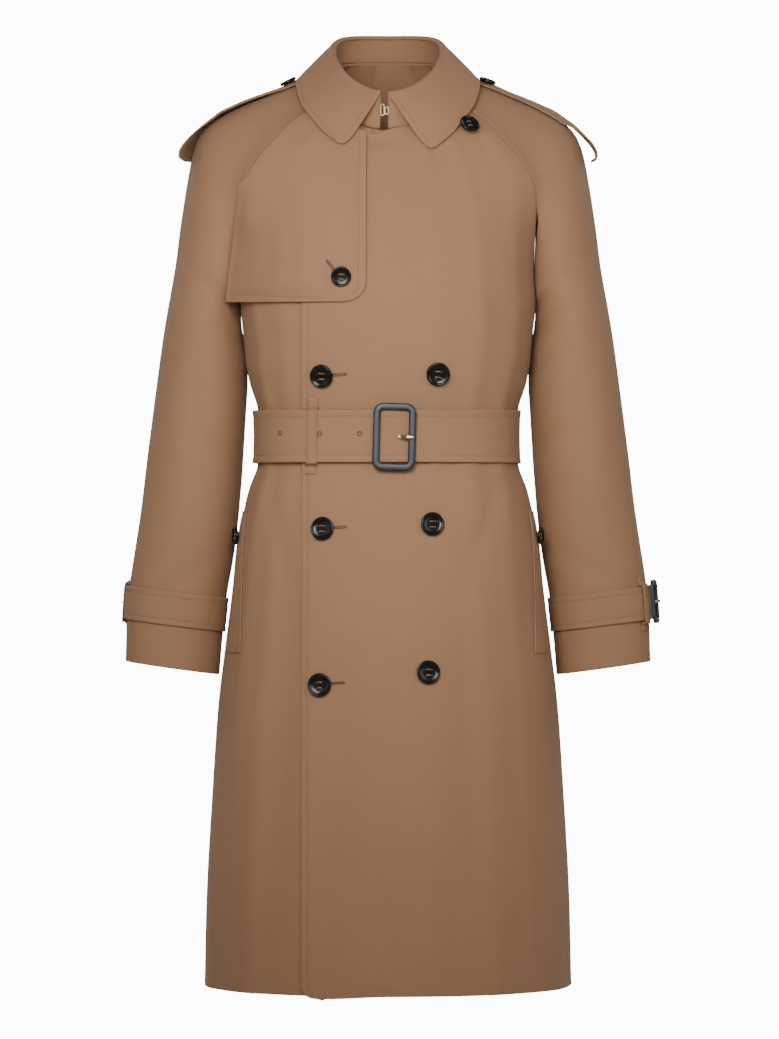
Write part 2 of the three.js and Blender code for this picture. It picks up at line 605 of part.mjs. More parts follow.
// Collar: the stand rises from the neckline to the fold, the leaf falls from the fold to its edge
const fold = {
  halfWidth: 65, centreY: 8, halfDepth: 68, midZ: 34, rise: 39, sideLift: 18, radius: 4.5, lastTurn: 0.25,
};
function foldPoint(angle) {
  const a = radians(angle);
  const z = fold.midZ - fold.rise * Math.cos(a) + fold.sideLift * Math.sin(a) ** 2;
  return new THREE.Vector3(fold.halfWidth * Math.sin(a), fold.centreY - fold.halfDepth * Math.cos(a), z);
}
const collarOpening = { right: -7.5, left: 0.5 };
const standRows = 3;
const collarColumns = 36;
function collarAngle(across) {
  return mix(collarOpening.right, collarOpening.left - 360, across);
}
const standClear = 0.6;
// The left front's top edge stands higher where it lies over the right one
const edgeRise = { height: 2.2, from: [-14, -4], to: [58, 74] };
const frontEdgeRise = (angle) => (
  edgeRise.height * smoothStep(...edgeRise.from, angle) * (1 - smoothStep(...edgeRise.to, angle))
);
add('collar_stand', makeWall(makeGrid(standRows, collarColumns, (v, u) => {
  const angle = collarAngle(u);
  const low = neckPoint(angle);
  low.z += standClear + frontEdgeRise(angle < -180 ? angle + 360 : angle);
  return low.lerp(foldPoint(angle), v);
}, -1), standCloth, () => standCloth), gabardine);

// Edge of the leaf at places round the fold, drawn for the wearer's left
const leafEdge = [
  { angle: 0, x: 48.5, y: -86, z: -74 },
  { angle: 18, x: 75.5, y: -76, z: -51 },
  { angle: 38, x: 90.5, y: -62, z: -32 },
  { angle: 60, x: 103.5, y: -42, z: -13 },
  { angle: 80, x: 110.5, y: -14, z: 12.5 },
  { angle: 98, x: 107.5, y: 20, z: 22.5 },
  { angle: 125, x: 94, y: 63, z: 26.5 },
  { angle: 152, x: 56, y: 97, z: 24 },
  { angle: 180, x: 0, y: 106, z: 22 },
];
const rightTip = { x: 2.5, z: 6, reach: 40, turnBy: 60 };
const leafOverFlap = { height: 5, to: [55, 75] };
const leafInset = 0.3;
const leafHandle = { share: 0.4, out: 3 };
const leafFoldRows = 3;
const leafRows = 7;
const leafCorner = { size: 0.01, from: 0.88 };
function leafPoint(down, across) {
  const angle = collarAngle(across);
  const signed = angle < -180 ? angle + 360 : angle;
  const side = signed < 0 ? -1 : 1;
  const turn = Math.abs(signed);
  const opening = side < 0 ? -collarOpening.right : collarOpening.left;
  const edgeTurn = Math.max(turn - opening * (1 - smoothStep(opening, rightTip.turnBy, turn)), 0);
  const edge = new THREE.Vector3(...['x', 'y', 'z'].map((key) => read(leafEdge, 'angle', key, edgeTurn)));
  if (side < 0) {
    const nearTip = 1 - smoothStep(0, rightTip.reach, turn);
    edge.x += rightTip.x * nearTip;
    edge.z += rightTip.z * nearTip;
    edge.y -= leafOverFlap.height * (1 - smoothStep(...leafOverFlap.to, turn));
  }
  edge.x *= side;
  const top = foldPoint(signed);
  const out = top.clone().sub(new THREE.Vector3(0, fold.centreY, top.z)).normalize();
  const start = top.clone().addScaledVector(out, leafInset - standCloth);
  start.z += standClear;
  const middle = start.clone().addScaledVector(out, fold.radius);
  const row = down * leafRows;
  if (row <= leafFoldRows) {
    const a = mix(Math.PI, fold.lastTurn, row / leafFoldRows);
    return middle.addScaledVector(out, fold.radius * Math.cos(a)).setZ(start.z + fold.radius * Math.sin(a));
  }
  const t = (row - leafFoldRows) / (leafRows - leafFoldRows);
  const shoulder = middle.clone().addScaledVector(out, fold.radius * Math.cos(fold.lastTurn));
  shoulder.z = start.z + fold.radius * Math.sin(fold.lastTurn);
  const handle = shoulder.clone().lerp(edge, leafHandle.share).addScaledVector(out, leafHandle.out);
  return new THREE.QuadraticBezierCurve3(shoulder, handle, edge).getPoint(t);
}
add('collar_leaf', makeWall(makeGrid(leafRows, collarColumns, (v, u) => {
  const intoCorner = Math.max(v - leafCorner.from, 0) / (1 - leafCorner.from);
  const corner = (1 - Math.sqrt(1 - intoCorner ** 2)) * leafCorner.size;
  return leafPoint(v, mix(corner, 1 - corner, u));
}, 1), collarCloth), gabardine);

// Belt: one strap that starts behind the buckle, goes round the back and comes to lie over itself
const belt = { start: 2, columns: 65, clear: 1, layerClear: 0.6, climb: [285, 345], frontFall: [40, 72] };
const beltTravel = belt.columns * beltStep;
function frontLift(angle) {
  return overlapLift * (1 - smoothStep(...belt.frontFall, Math.abs(angle)));
}
function beltLift(travel) {
  const angle = belt.start - travel;
  const wrapped = angle < -180 ? angle + 360 : angle;
  const layer = (beltCloth + belt.layerClear) * smoothStep(...belt.climb, travel);
  return frontLift(wrapped) + belt.clear + beltCloth + layer;
}
const beltGrid = makeGrid(1, belt.columns, (v, u) => {
  const angle = belt.start - u * beltTravel;
  return bodyPoint(angle < -180 ? angle + 360 : angle, mix(beltTopZ, beltBottomZ, v));
}, 1);
add('belt', makeWall(beltGrid, beltCloth, (point, i, j) => beltLift(j * beltStep)), gabardine);

// Belt loop: a narrow strip sewn to the front above and below the belt
const loopX = -89;
const loopDrift = 3;
const loopWidth = 12;
const loopCloth = 1.6;
const loopPath = [
  { z: -368, out: 0.5 },
  { z: -374, out: 0.6 },
  { z: -377.5, out: 7.4 },
  { z: -443.5, out: 7.4 },
  { z: -447, out: 0.6 },
  { z: -453, out: 0.5 },
];
const frontWalls = ['front_left', 'front_right'].map(wallOf);
add('belt_loop', makeWall(makeGrid(loopPath.length - 1, 2, (v, u) => {
  const stage = loopPath[Math.round(v * (loopPath.length - 1))];
  const x = loopX - loopDrift * v + mix(-loopWidth / 2, loopWidth / 2, u);
  const seen = seenAt(frontWalls, x, stage.z);
  return seen.point.setY(seen.point.y - stage.out - loopCloth);
}, -1), loopCloth), gabardine);

// A rounded frame with a window, its bars rounded, centred on its own origin and facing +Z
const roundedShare = 0.3;
function frameShape(width, height, bar, thickness, corner) {
  const edge = thickness * roundedShare;
  const outline = roundedRectangle(width - 2 * edge, height - 2 * edge, corner - edge);
  const inset = 2 * (bar - edge);
  outline.holes.push(roundedRectangle(width - inset, height - inset, corner / 2));
  const geometry = new THREE.ExtrudeGeometry(outline, {
    depth: thickness - 2 * edge, bevelThickness: edge, bevelSize: edge, bevelSegments: 1, curveSegments: 2,
  });
  return geometry.translate(0, 0, edge);
}
function roundedRectangle(width, height, corner) {
  const [x, y] = [width / 2, height / 2];
  const shape = new THREE.Shape();
  shape.moveTo(-x + corner, -y);
  shape.lineTo(x - corner, -y);
  shape.absarc(x - corner, -y + corner, corner, -Math.PI / 2, 0);
  shape.lineTo(x, y - corner);
  shape.absarc(x - corner, y - corner, corner, 0, Math.PI / 2);
  shape.lineTo(-x + corner, y);
  shape.absarc(-x + corner, y - corner, corner, Math.PI / 2, Math.PI);
  shape.lineTo(-x, -y + corner);
  shape.absarc(-x + corner, -y + corner, corner, Math.PI, 1.5 * Math.PI);
  return shape;
}

// Sets a piece that faces its own +Z on a surface, its back `clear` above the place and its top towards `up`
function setOn(mesh, place, clear, up = new THREE.Vector3(0, 0, 1)) {
  const sideways = up.clone().cross(place.normal).normalize();
  const upright = place.normal.clone().cross(sideways);
  mesh.quaternion.setFromRotationMatrix(new THREE.Matrix4().makeBasis(sideways, upright, place.normal));
  mesh.position.copy(place.point).addScaledVector(place.normal, clear);
  return mesh;
}

// Button with four thread holes
const buttonHoles = { count: 4, reach: 0.13, radius: 0.04 };
function buttonShape({ diameter, thickness }) {
  const shape = new THREE.Shape();
  shape.setFromPoints(circle(0, 0, diameter / 2, 20));
  for (let k = 0; k < buttonHoles.count; k += 1) {
    const a = ((k + 0.5) * 2 * Math.PI) / buttonHoles.count;
    const reach = diameter * buttonHoles.reach;
    const hole = circle(reach * Math.cos(a), reach * Math.sin(a), diameter * buttonHoles.radius, 6);
    shape.holes.push(new THREE.Path(hole));
  }
  return new THREE.ExtrudeGeometry(shape, { depth: thickness, bevelEnabled: false });
}
function circle(x, y, radius, sides) {
  return Array.from({ length: sides }, (_, k) => {
    const a = (k * 2 * Math.PI) / sides;
    return new THREE.Vector2(x + radius * Math.cos(a), y + radius * Math.sin(a));
  });
}

const buttonClear = 0.8;
const frontButtons = [
  { x: -77.8, z: -340 },
  { x: 59, z: -338 },
  { x: -76.6, z: -520.5 },
  { x: 51.9, z: -515 },
  { x: -79.9, z: -704 },
  { x: 47, z: -689 },
];
frontButtons.forEach(({ x, z }, k) => {
  const button = add(`front_button_${k + 1}`, buttonShape(frontButton), horn);
  setOn(button, seenAt(frontWalls, x, z), buttonClear);
});
const flapButtonPlace = { x: -55.4, z: -223 };
const flapSeat = seenAt([wallOf('gun_flap')], flapButtonPlace.x, flapButtonPlace.z);
setOn(add('gun_flap_button', buttonShape(chestButton), horn), flapSeat, buttonClear);

// The throat button leans against the edge of the collar's left leaf
const throatButton = { x: 95.5, z: -45, clear: 5.5, facing: [0.25, -1, 0.35] };
const throat = seenAt(frontWalls, throatButton.x, throatButton.z);
throat.normal = new THREE.Vector3(...throatButton.facing).normalize();
setOn(add('throat_button', buttonShape(chestButton), horn), throat, throatButton.clear);

// A buckle frame on its strap, and a prong whose tip rests on the frame's side bar
const prongForm = { thickness: 2.2, clear: 0.3, overBar: 0.4, back: -6, bend: -1, crest: 4, lean: 1 };
function prongShape(reach, rise, width) {
  const { thickness, clear, overBar, back: root, bend, crest, lean } = prongForm;
  const shape = new THREE.Shape();
  const under = rise + overBar;
  const top = under + thickness;
  shape.moveTo(root, clear);
  shape.lineTo(bend, clear);
  shape.lineTo(crest, under);
  shape.lineTo(reach, under);
  shape.lineTo(reach, top);
  shape.lineTo(crest - lean, top);
  shape.lineTo(bend - lean, thickness);
  shape.lineTo(root, thickness);
  const geometry = new THREE.ExtrudeGeometry(shape, { depth: width, bevelEnabled: false });
  return geometry.rotateX(Math.PI / 2).translate(0, width / 2, 0);
}
function addBuckle(names, seat, size, clear, up) {
  const frame = frameShape(size.width, size.height, size.bar, size.thickness, size.corner);
  const mesh = setOn(add(names.frame, frame, leather), seat, clear, up);
  const prong = prongShape(size.prongReach, size.thickness + clear, size.prongWidth);
  const root = new THREE.Vector3(size.width / 2 - size.bar / 2 - size.prongReach, 0, 0);
  root.applyQuaternion(mesh.quaternion).add(seat.point);
  setOn(add(names.prong, prong, paleGold), { point: root, normal: seat.normal }, prongForm.clear, up);
}
const buckle = {
  x: 7.5, z: -412, width: 51, height: 80, bar: 8.8, thickness: 6, corner: 9, tilt: 1.5, clear: 0.8,
  prongReach: 11, prongWidth: 4.7,
};
const buckleSeat = seenAt([wallOf('belt')], buckle.x, buckle.z);
buckleSeat.normal = new THREE.Vector3(0, -1, 0);
const upTilted = new THREE.Vector3(Math.sin(radians(buckle.tilt)), 0, Math.cos(radians(buckle.tilt)));
addBuckle({ frame: 'belt_buckle', prong: 'belt_prong' }, buckleSeat, buckle, buckle.clear, upTilted);

// Hook and eye on the stand's two front ends
const standWall = [wallOf('collar_stand')];
const ring = { width: 5.5, wire: 1.4, clear: 1, facing: [0, -1, 0.1] };
const fasteners = [
  { name: 'hook', x: -7.6, seatX: -12.6, z: -24, height: 16 },
  { name: 'eye', x: -1.4, seatX: 3.6, z: -22, height: 12 },
];
function ringPlate(height) {
  const { width, wire } = ring;
  const round = width / 2 - 0.01;
  const outline = roundedRectangle(width, height, round);
  outline.holes.push(roundedRectangle(width - 2 * wire, height - 2 * wire, round - wire));
  return new THREE.ExtrudeGeometry(outline, { depth: wire, bevelEnabled: false, curveSegments: 3 });
}
for (const { name, x, seatX, z, height } of fasteners) {
  const seat = seenAt(standWall, seatX, z);
  seat.normal = new THREE.Vector3(...ring.facing).normalize();
  seat.point.x = x;
  setOn(add(name, ringPlate(height), paleGold), seat, ring.clear);
}

// Epaulettes: straps that lie along the shoulder and stand off it in a bow at the sleeve's head
const strap = {
  halfWidth: 22, thickness: 2, clear: 1.5, rows: 18, columns: 4, centreY: 22, endWidth: 0.82,
  besideSeam: 1.5, freeBy: 0.25,
};
const strapPath = [
  { place: 0, x: 109 },
  { place: 0.16, x: 122 },
  { place: 0.3, x: 145 },
  { place: 0.42, x: 168 },
  { place: 0.53, x: 190 },
  { place: 0.62, x: 207 },
];
const strapBow = [
  { place: 0.62, x: 207, z: -26 },
  { place: 0.72, x: 226, z: -36 },
  { place: 0.82, x: 242, z: -52.5 },
  { place: 0.91, x: 251, z: -66 },
  { place: 0.96, x: 251.5, z: -75 },
  { place: 1, x: 246, z: -79 },
];
// How far each edge of a strap stands off the line that the tables above give
const strapLiftsLeft = [
  { place: 0, front: 0, back: 3 },
  { place: 0.1, front: 0, back: 6.5 },
  { place: 0.3, front: 0, back: 4.6 },
  { place: 0.5, front: 0, back: 5.4 },
  { place: 0.62, front: 0.4, back: 7.4 },
  { place: 0.72, front: 0.4, back: 1.5 },
  { place: 0.82, front: 0, back: 0 },
  { place: 1, front: 0, back: 0 },
];
const strapLiftsRight = [
  { place: 0, front: 0, back: 3 },
  { place: 0.1, front: 0, back: 5.5 },
  { place: 0.19, front: 0.2, back: 3.2 },
  { place: 0.3, front: 2.6, back: 0 },
  { place: 0.5, front: 5.2, back: 0 },
  { place: 0.62, front: 7, back: 0 },
  { place: 0.72, front: 1.5, back: -5 },
  { place: 0.82, front: 0, back: -12 },
  { place: 0.91, front: 0, back: -14 },
  { place: 0.96, front: 0, back: -13 },
  { place: 1, front: 0, back: -8.5 },
];
const strapButtonPlace = { x: 119, y: 14 };
const epaulettes = [
  { side: 'left', sign: 1, lifts: strapLiftsLeft },
  { side: 'right', sign: -1, lifts: strapLiftsRight },
];
for (const { side, sign, lifts } of epaulettes) {
  const shoulder = [wallOf(`sleeve_${side}_front`), wallOf(`sleeve_${side}_back`)];
  const bowStart = strapPath[strapPath.length - 1].place;
  const { centreY, besideSeam } = strap;
  const onShoulder = (x, y) => {
    const seen = [-besideSeam, besideSeam].map((aside) => seenFromAbove(shoulder, sign * x, y + aside));
    return Math.max(...seen.map((hit) => hit.point.z)) + strap.clear + strap.thickness;
  };
  const pointAt = (v, u) => {
    const narrow = mix(strap.endWidth, 1, smoothStep(0, 0.5, v));
    const offset = mix(-strap.halfWidth, strap.halfWidth, u) * narrow;
    const y = centreY + offset;
    const lift = mix(read(lifts, 'place', 'front', v), read(lifts, 'place', 'back', v), u);
    if (v <= bowStart) {
      const x = read(strapPath, 'place', 'x', v);
      return new THREE.Vector3(sign * x, y, onShoulder(x, y) + lift);
    }
    const x = read(strapBow, 'place', 'x', v);
    const z = read(strapBow, 'place', 'z', v);
    const free = smoothStep(bowStart, bowStart + strap.freeBy, v);
    const edgeX = strapPath[strapPath.length - 1].x;
    const drop = (onShoulder(edgeX, y) - onShoulder(edgeX, centreY)) * (1 - free);
    return new THREE.Vector3(sign * (x + lift * free), y, z + drop + lift * (1 - free));
  };
  const grid = makeGrid(strap.rows, strap.columns, pointAt, -sign);
  add(`epaulette_${side}`, makeWall(grid, strap.thickness), gabardine);
  const seat = seenFromAbove([wallOf(`epaulette_${side}`)], sign * strapButtonPlace.x, strapButtonPlace.y);
  const forward = new THREE.Vector3(0, -1, 0);
  setOn(add(`epaulette_button_${side}`, buttonShape(strapButton), horn), seat, buttonClear, forward);
}

// Cuff straps: each runs once round the sleeve and through its buckle, which sits at `at` round the cuff
const cuff = {
  topRow: 19.15, bottomRow: 20.02, columns: 30, tail: 0.12, clear: 0.8, thickness: 2, climb: [0.72, 0.87],
};
const cuffLayer = cuff.thickness + 0.6;
const cuffBuckle = {
  width: 36, height: 53, bar: 6.5, thickness: 4.5, corner: 6, clear: 1.6, prongReach: 9, prongWidth: 3.6,
};
const cuffLoop = { halfWidth: 0.013, thickness: 1.5, out: 6 };
const cuffLoopStages = [
  { row: 18.9, out: 0.5 },
  { row: 19.03, out: 0.6 },
  { row: 19.08, out: cuffLoop.out },
  { row: 20.09, out: cuffLoop.out },
  { row: 20.14, out: 0.6 },
  { row: 20.27, out: 0.5 },
];
// Point of the left sleeve a share of the whole way round it, from the underarm seam over the front
function sleeveRing(row, around) {
  const turn = around - Math.floor(around);
  return turn < 0.5 ? sleevePoint('front', row, 2 * turn) : sleevePoint('back', row, 2 - 2 * turn);
}
const cuffs = [
  { side: 'left', sign: 1, at: 0.47, loopAt: 0.418, facing: new THREE.Vector3(1, -0.2, 0.08) },
  { side: 'right', sign: -1, at: 0.6, loopAt: 0.54, facing: new THREE.Vector3(-1, 0.75, 0.08) },
];
for (const { side, sign, at, loopAt, facing } of cuffs) {
  const reach = 1 + cuff.tail;
  const strapPoint = (v, u) => mirror(sleeveRing(mix(cuff.topRow, cuff.bottomRow, v), at + u * reach), sign);
  const strapLift = (point, i, j) => {
    const layer = cuffLayer * smoothStep(...cuff.climb, j / cuff.columns);
    return cuff.clear + cuff.thickness + layer;
  };
  const strapWall = makeWall(makeGrid(1, cuff.columns, strapPoint, -sign), cuff.thickness, strapLift);
  add(`cuff_strap_${side}`, strapWall, gabardine);

  const stages = cuffLoopStages.length - 1;
  const loopPoint = (v, u) => {
    const around = loopAt + mix(-cuffLoop.halfWidth, cuffLoop.halfWidth, u);
    return mirror(sleeveRing(cuffLoopStages[Math.round(v * stages)].row, around), sign);
  };
  const loopLift = (point, i) => cuffLoopStages[i].out + cuffLoop.thickness;
  const loopWall = makeWall(makeGrid(stages, 1, loopPoint, -sign), cuffLoop.thickness, loopLift);
  add(`cuff_loop_${side}`, loopWall, gabardine);

  facing.normalize();
  const middle = mirror(sleeveRing(mix(cuff.topRow, cuff.bottomRow, 0.5), at), sign);
  const seat = landOn([strapWall], middle.addScaledVector(facing, far), facing.clone().negate());
  seat.normal = facing;
  const names = { frame: `cuff_buckle_${side}`, prong: `cuff_prong_${side}` };
  addBuckle(names, seat, cuffBuckle, cuffBuckle.clear);
}

// Pocket welts: slanted strips on the skirt, each closed with one button
const welt = {
  rows: 8, columns: 3, topZ: -500, bottomZ: -668, topAngle: 84, bottomAngle: 72, spread: 13,
  clear: 0.7, thickness: 1.8,
};
const pocketButton = { angle: 78, z: -529, clear: 2.2, lean: -0.3 };
const skirtWalls = ['front_left', 'front_right', 'back'].map(wallOf);
function landOnSkirt(angle, z, sign) {
  const outward = mirror(bodyPoint(angle, z, sign), sign).sub(new THREE.Vector3(0, 0, z)).normalize();
  return landOn(skirtWalls, outward.clone().multiplyScalar(far).setZ(z), outward.negate());
}
for (const [side, sign] of [['left', 1], ['right', -1]]) {
  const weltPoint = (v, u) => {
    const angle = mix(welt.topAngle, welt.bottomAngle, v) - u * welt.spread;
    return landOnSkirt(angle, mix(welt.topZ, welt.bottomZ, v), sign).point;
  };
  const weltGrid = makeGrid(welt.rows, welt.columns, weltPoint, sign);
  const weltWall = makeWall(weltGrid, welt.thickness, () => welt.clear + welt.thickness);
  add(`pocket_welt_${side}`, weltWall, gabardine);
  const facing = new THREE.Vector3(sign, pocketButton.lean, 0).normalize();
  const onSide = mirror(bodyPoint(pocketButton.angle, pocketButton.z, sign), sign);
  const from = onSide.addScaledVector(facing, far);
  const seat = landOn([weltWall], from, facing.clone().negate());
  seat.normal = facing;
  setOn(add(`pocket_button_${side}`, buttonShape(strapButton), horn), seat, pocketButton.clear);
}

export default group;
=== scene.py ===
import math

import bpy
from mathutils import Matrix, Vector
from mathutils.bvhtree import BVHTree


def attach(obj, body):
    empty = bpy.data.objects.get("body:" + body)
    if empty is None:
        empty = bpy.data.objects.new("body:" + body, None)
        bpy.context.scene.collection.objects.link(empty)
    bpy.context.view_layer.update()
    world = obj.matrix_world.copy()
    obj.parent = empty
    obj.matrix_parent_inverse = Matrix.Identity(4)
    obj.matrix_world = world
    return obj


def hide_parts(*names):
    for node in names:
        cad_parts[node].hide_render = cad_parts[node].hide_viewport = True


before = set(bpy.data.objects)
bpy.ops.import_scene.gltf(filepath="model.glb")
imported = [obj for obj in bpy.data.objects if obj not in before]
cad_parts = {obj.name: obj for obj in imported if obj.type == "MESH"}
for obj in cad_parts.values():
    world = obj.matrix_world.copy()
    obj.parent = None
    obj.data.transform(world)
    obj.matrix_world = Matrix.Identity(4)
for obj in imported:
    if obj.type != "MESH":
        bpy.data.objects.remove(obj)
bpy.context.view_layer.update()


# Camera, floor and lights
cameraSpec = {"place": (0.0018, -6.5, -0.5094), "lens": 125.1, "sensor": 24.0}
lensData = bpy.data.cameras.new("camera")
lensData.sensor_fit = "VERTICAL"
lensData.sensor_height = cameraSpec["sensor"]
lensData.lens = cameraSpec["lens"]
cameraObject = bpy.data.objects.new("camera", lensData)
cameraObject.location = cameraSpec["place"]
cameraObject.rotation_euler = (math.radians(90), 0, 0)
bpy.context.scene.collection.objects.link(cameraObject)
bpy.context.scene.camera = cameraObject

lightSpecs = [
    {"name": "keyFront", "place": (-0.16, -1.55, 0.12), "size": 0.8, "watts": 6.5, "spread": 80},
    {"name": "fillRight", "place": (2.3, -2.2, 0.4), "size": 1.8, "watts": 26},
    {"name": "fillLeft", "place": (-2.6, -2.2, 0.3), "size": 1.8, "watts": 11},
    {"name": "backLeft", "place": (-2.2, 2.4, 1.4), "size": 2.0, "watts": 40},
    {"name": "backRight", "place": (2.2, 2.4, 1.4), "size": 2.0, "watts": 40},
]
for spec in lightSpecs:
    lamp = bpy.data.lights.new(spec["name"], "AREA")
    lamp.shape = "SQUARE"
    lamp.size = spec["size"]
    lamp.energy = spec["watts"]
    lamp.spread = math.radians(spec.get("spread", 180))
    lampObject = bpy.data.objects.new(spec["name"], lamp)
    lampObject.location = spec["place"]
    lampObject.visible_camera = False
    aim = Vector((0, 0, spec.get("aimZ", -0.3))) - Vector(spec["place"])
    lampObject.rotation_euler = aim.to_track_quat("-Z", "Y").to_euler()
    bpy.context.scene.collection.objects.link(lampObject)


# Helpers for numbers
def mix(a, b, t):
    return a + (b - a) * t


def clamp(value, low, high):
    return min(high, max(low, value))


def smoothStep(low, high, value):
    t = clamp((value - low) / (high - low), 0, 1)
    return t * t * (3 - 2 * t)


def bell(value, halfWidth):
    return math.exp(-((value / halfWidth) ** 2))


# Smooth value of one column of a table, read at a place along the column `by`
def read(table, by, key, place):
    rising = table[1][by] > table[0][by]
    i = 0
    while i < len(table) - 2 and (place > table[i + 1][by] if rising else place < table[i + 1][by]):
        i += 1

    def slope(k):
        before, after = table[max(k - 1, 0)], table[min(k + 1, len(table) - 1)]
        return (after[key] - before[key]) / (after[by] - before[by])

    a, b = table[i], table[i + 1]
    span = b[by] - a[by]
    t = (place - a[by]) / span
    t2, t3 = t * t, t * t * t
    return ((2 * t3 - 3 * t2 + 1) * a[key] + (t3 - 2 * t2 + t) * span * slope(i)
            + (3 * t2 - 2 * t3) * b[key] + (t3 - t2) * span * slope(i + 1))


# Node groups
def nodeGroup(name, inputs, outputs):
    group = bpy.data.node_groups.new(name, "ShaderNodeTree")
    for socketName, kind, value in inputs:
        socket = group.interface.new_socket(socketName, in_out="INPUT", socket_type=kind)
        if value is not None:
            socket.default_value = value
    for socketName, kind in outputs:
        group.interface.new_socket(socketName, in_out="OUTPUT", socket_type=kind)
    return group, group.nodes.new("NodeGroupInput"), group.nodes.new("NodeGroupOutput")


def mathNode(tree, operation, first, second=None, third=None):
    node = tree.nodes.new("ShaderNodeMath")
    node.operation = operation
    for k, value in enumerate((first, second, third)):
        if isinstance(value, (int, float)):
            node.inputs[k].default_value = value
        elif value is not None:
            tree.links.new(value, node.inputs[k])
    return node.outputs[0]


def noiseNode(tree, place, scale, detail=3.0, roughness=0.5):
    node = tree.nodes.new("ShaderNodeTexNoise")
    node.inputs["Scale"].default_value = scale
    node.inputs["Detail"].default_value = detail
    node.inputs["Roughness"].default_value = roughness
    tree.links.new(place, node.inputs["Vector"])
    return node.outputs["Fac"]


# Diagonal ribs of a fine twill, from a place on the cloth in metres
def makeTwill():
    group, given, put = nodeGroup(
        "twillWeave",
        [("Place", "NodeSocketVector", None), ("Pitch", "NodeSocketFloat", 0.0009), ("Unevenness", "NodeSocketFloat", 0.6)],
        [("Height", "NodeSocketFloat"), ("Tone", "NodeSocketFloat")],
    )
    split = group.nodes.new("ShaderNodeSeparateXYZ")
    group.links.new(given.outputs["Place"], split.inputs[0])
    slant = mathNode(group, "MULTIPLY_ADD", split.outputs["X"], 1.9, split.outputs["Y"])
    drift = noiseNode(group, given.outputs["Place"], 260.0, 2.0)
    shifted = mathNode(group, "MULTIPLY_ADD", drift, 0.0012, slant)
    turns = mathNode(group, "DIVIDE", shifted, given.outputs["Pitch"])
    ribs = mathNode(group, "SINE", mathNode(group, "MULTIPLY", turns, 2 * math.pi))
    threads = noiseNode(group, given.outputs["Place"], 1400.0, 2.0)
    uneven = mathNode(group, "MULTIPLY", mathNode(group, "SUBTRACT", threads, 0.5), given.outputs["Unevenness"])
    height = mathNode(group, "MULTIPLY_ADD", ribs, 0.25, uneven)
    group.links.new(height, put.inputs["Height"])
    group.links.new(mathNode(group, "MULTIPLY_ADD", height, 0.3, 0.5), put.inputs["Tone"])
    return group


# Slow changes of tone, as of cloth or leather that has been handled
def makeTone():
    group, given, put = nodeGroup(
        "handledTone",
        [("Place", "NodeSocketVector", None), ("Breadth", "NodeSocketFloat", 9.0), ("Strength", "NodeSocketFloat", 0.5)],
        [("Tone", "NodeSocketFloat")],
    )
    broad = group.nodes.new("ShaderNodeTexNoise")
    broad.inputs["Detail"].default_value = 4.0
    broad.inputs["Roughness"].default_value = 0.6
    group.links.new(given.outputs["Place"], broad.inputs["Vector"])
    group.links.new(given.outputs["Breadth"], broad.inputs["Scale"])
    centred = mathNode(group, "SUBTRACT", broad.outputs["Fac"], 0.5)
    group.links.new(mathNode(group, "MULTIPLY_ADD", centred, given.outputs["Strength"], 0.5), put.inputs["Tone"])
    return group


twillWeave = makeTwill()
handledTone = makeTone()


def placeGroup(tree, group, **values):
    node = tree.nodes.new("ShaderNodeGroup")
    node.node_tree = group
    for name, value in values.items():
        if isinstance(value, (int, float)):
            node.inputs[name].default_value = value
        else:
            tree.links.new(value, node.inputs[name])
    return node


def colourMix(tree, factor, first, second):
    node = tree.nodes.new("ShaderNodeMix")
    node.data_type = "RGBA"
    tree.links.new(factor, node.inputs["Factor"])
    for socket, colour in ((node.inputs[6], first), (node.inputs[7], second)):
        if isinstance(colour, tuple):
            socket.default_value = (*colour, 1)
        else:
            tree.links.new(colour, socket)
    return node.outputs[2]


def bumpNode(tree, height, strength, distance):
    node = tree.nodes.new("ShaderNodeBump")
    node.inputs["Strength"].default_value = strength
    node.inputs["Distance"].default_value = distance
    tree.links.new(height, node.inputs["Height"])
    return node.outputs["Normal"]


def newMaterial(name):
    material = bpy.data.materials.new(name)
    material.use_nodes = True
    tree = material.node_tree
    return material, tree, tree.nodes["Principled BSDF"]


clothSpec = {
    "dark": (0.250, 0.130, 0.066), "light": (0.318, 0.172, 0.090), "roughness": 0.8, "sheen": 0.05,
    "pitch": 0.0009, "weaveDepth": 0.00012,
}


def makeCloth(name, spec, onUv=True):
    material, tree, shader = newMaterial(name)
    coordinates = tree.nodes.new("ShaderNodeTexCoord")
    place = coordinates.outputs["UV" if onUv else "Object"]
    weave = placeGroup(tree, twillWeave, Place=place, Pitch=spec["pitch"], Unevenness=0.6)
    tone = placeGroup(tree, handledTone, Place=coordinates.outputs["Object"], Breadth=7.0, Strength=0.5)
    both = mathNode(tree, "ADD", tone.outputs["Tone"], mathNode(tree, "SUBTRACT", weave.outputs["Tone"], 0.5))
    tree.links.new(colourMix(tree, both, spec["dark"], spec["light"]), shader.inputs["Base Color"])
    rough = mathNode(tree, "MULTIPLY_ADD", weave.outputs["Height"], -0.05, spec["roughness"])
    tree.links.new(rough, shader.inputs["Roughness"])
    shader.inputs["Sheen Weight"].default_value = spec["sheen"]
    shader.inputs["Sheen Roughness"].default_value = 0.4
    shader.inputs["Specular IOR Level"].default_value = 0.3
    tree.links.new(bumpNode(tree, weave.outputs["Height"], 0.5, spec["weaveDepth"]), shader.inputs["Normal"])
    return material


gabardine = makeCloth("gabardine", clothSpec)

threadSpec = {"dark": (0.15, 0.085, 0.048), "light": (0.27, 0.155, 0.092), "roughness": 0.6}
# Buttonhole twist: a dark thread colour, darkened further to paint the shade of the slit; the eyelets use it too
twistAndSlitShadeSpec = {"dark": (0.045, 0.026, 0.016), "light": (0.12, 0.068, 0.04), "roughness": 0.55}


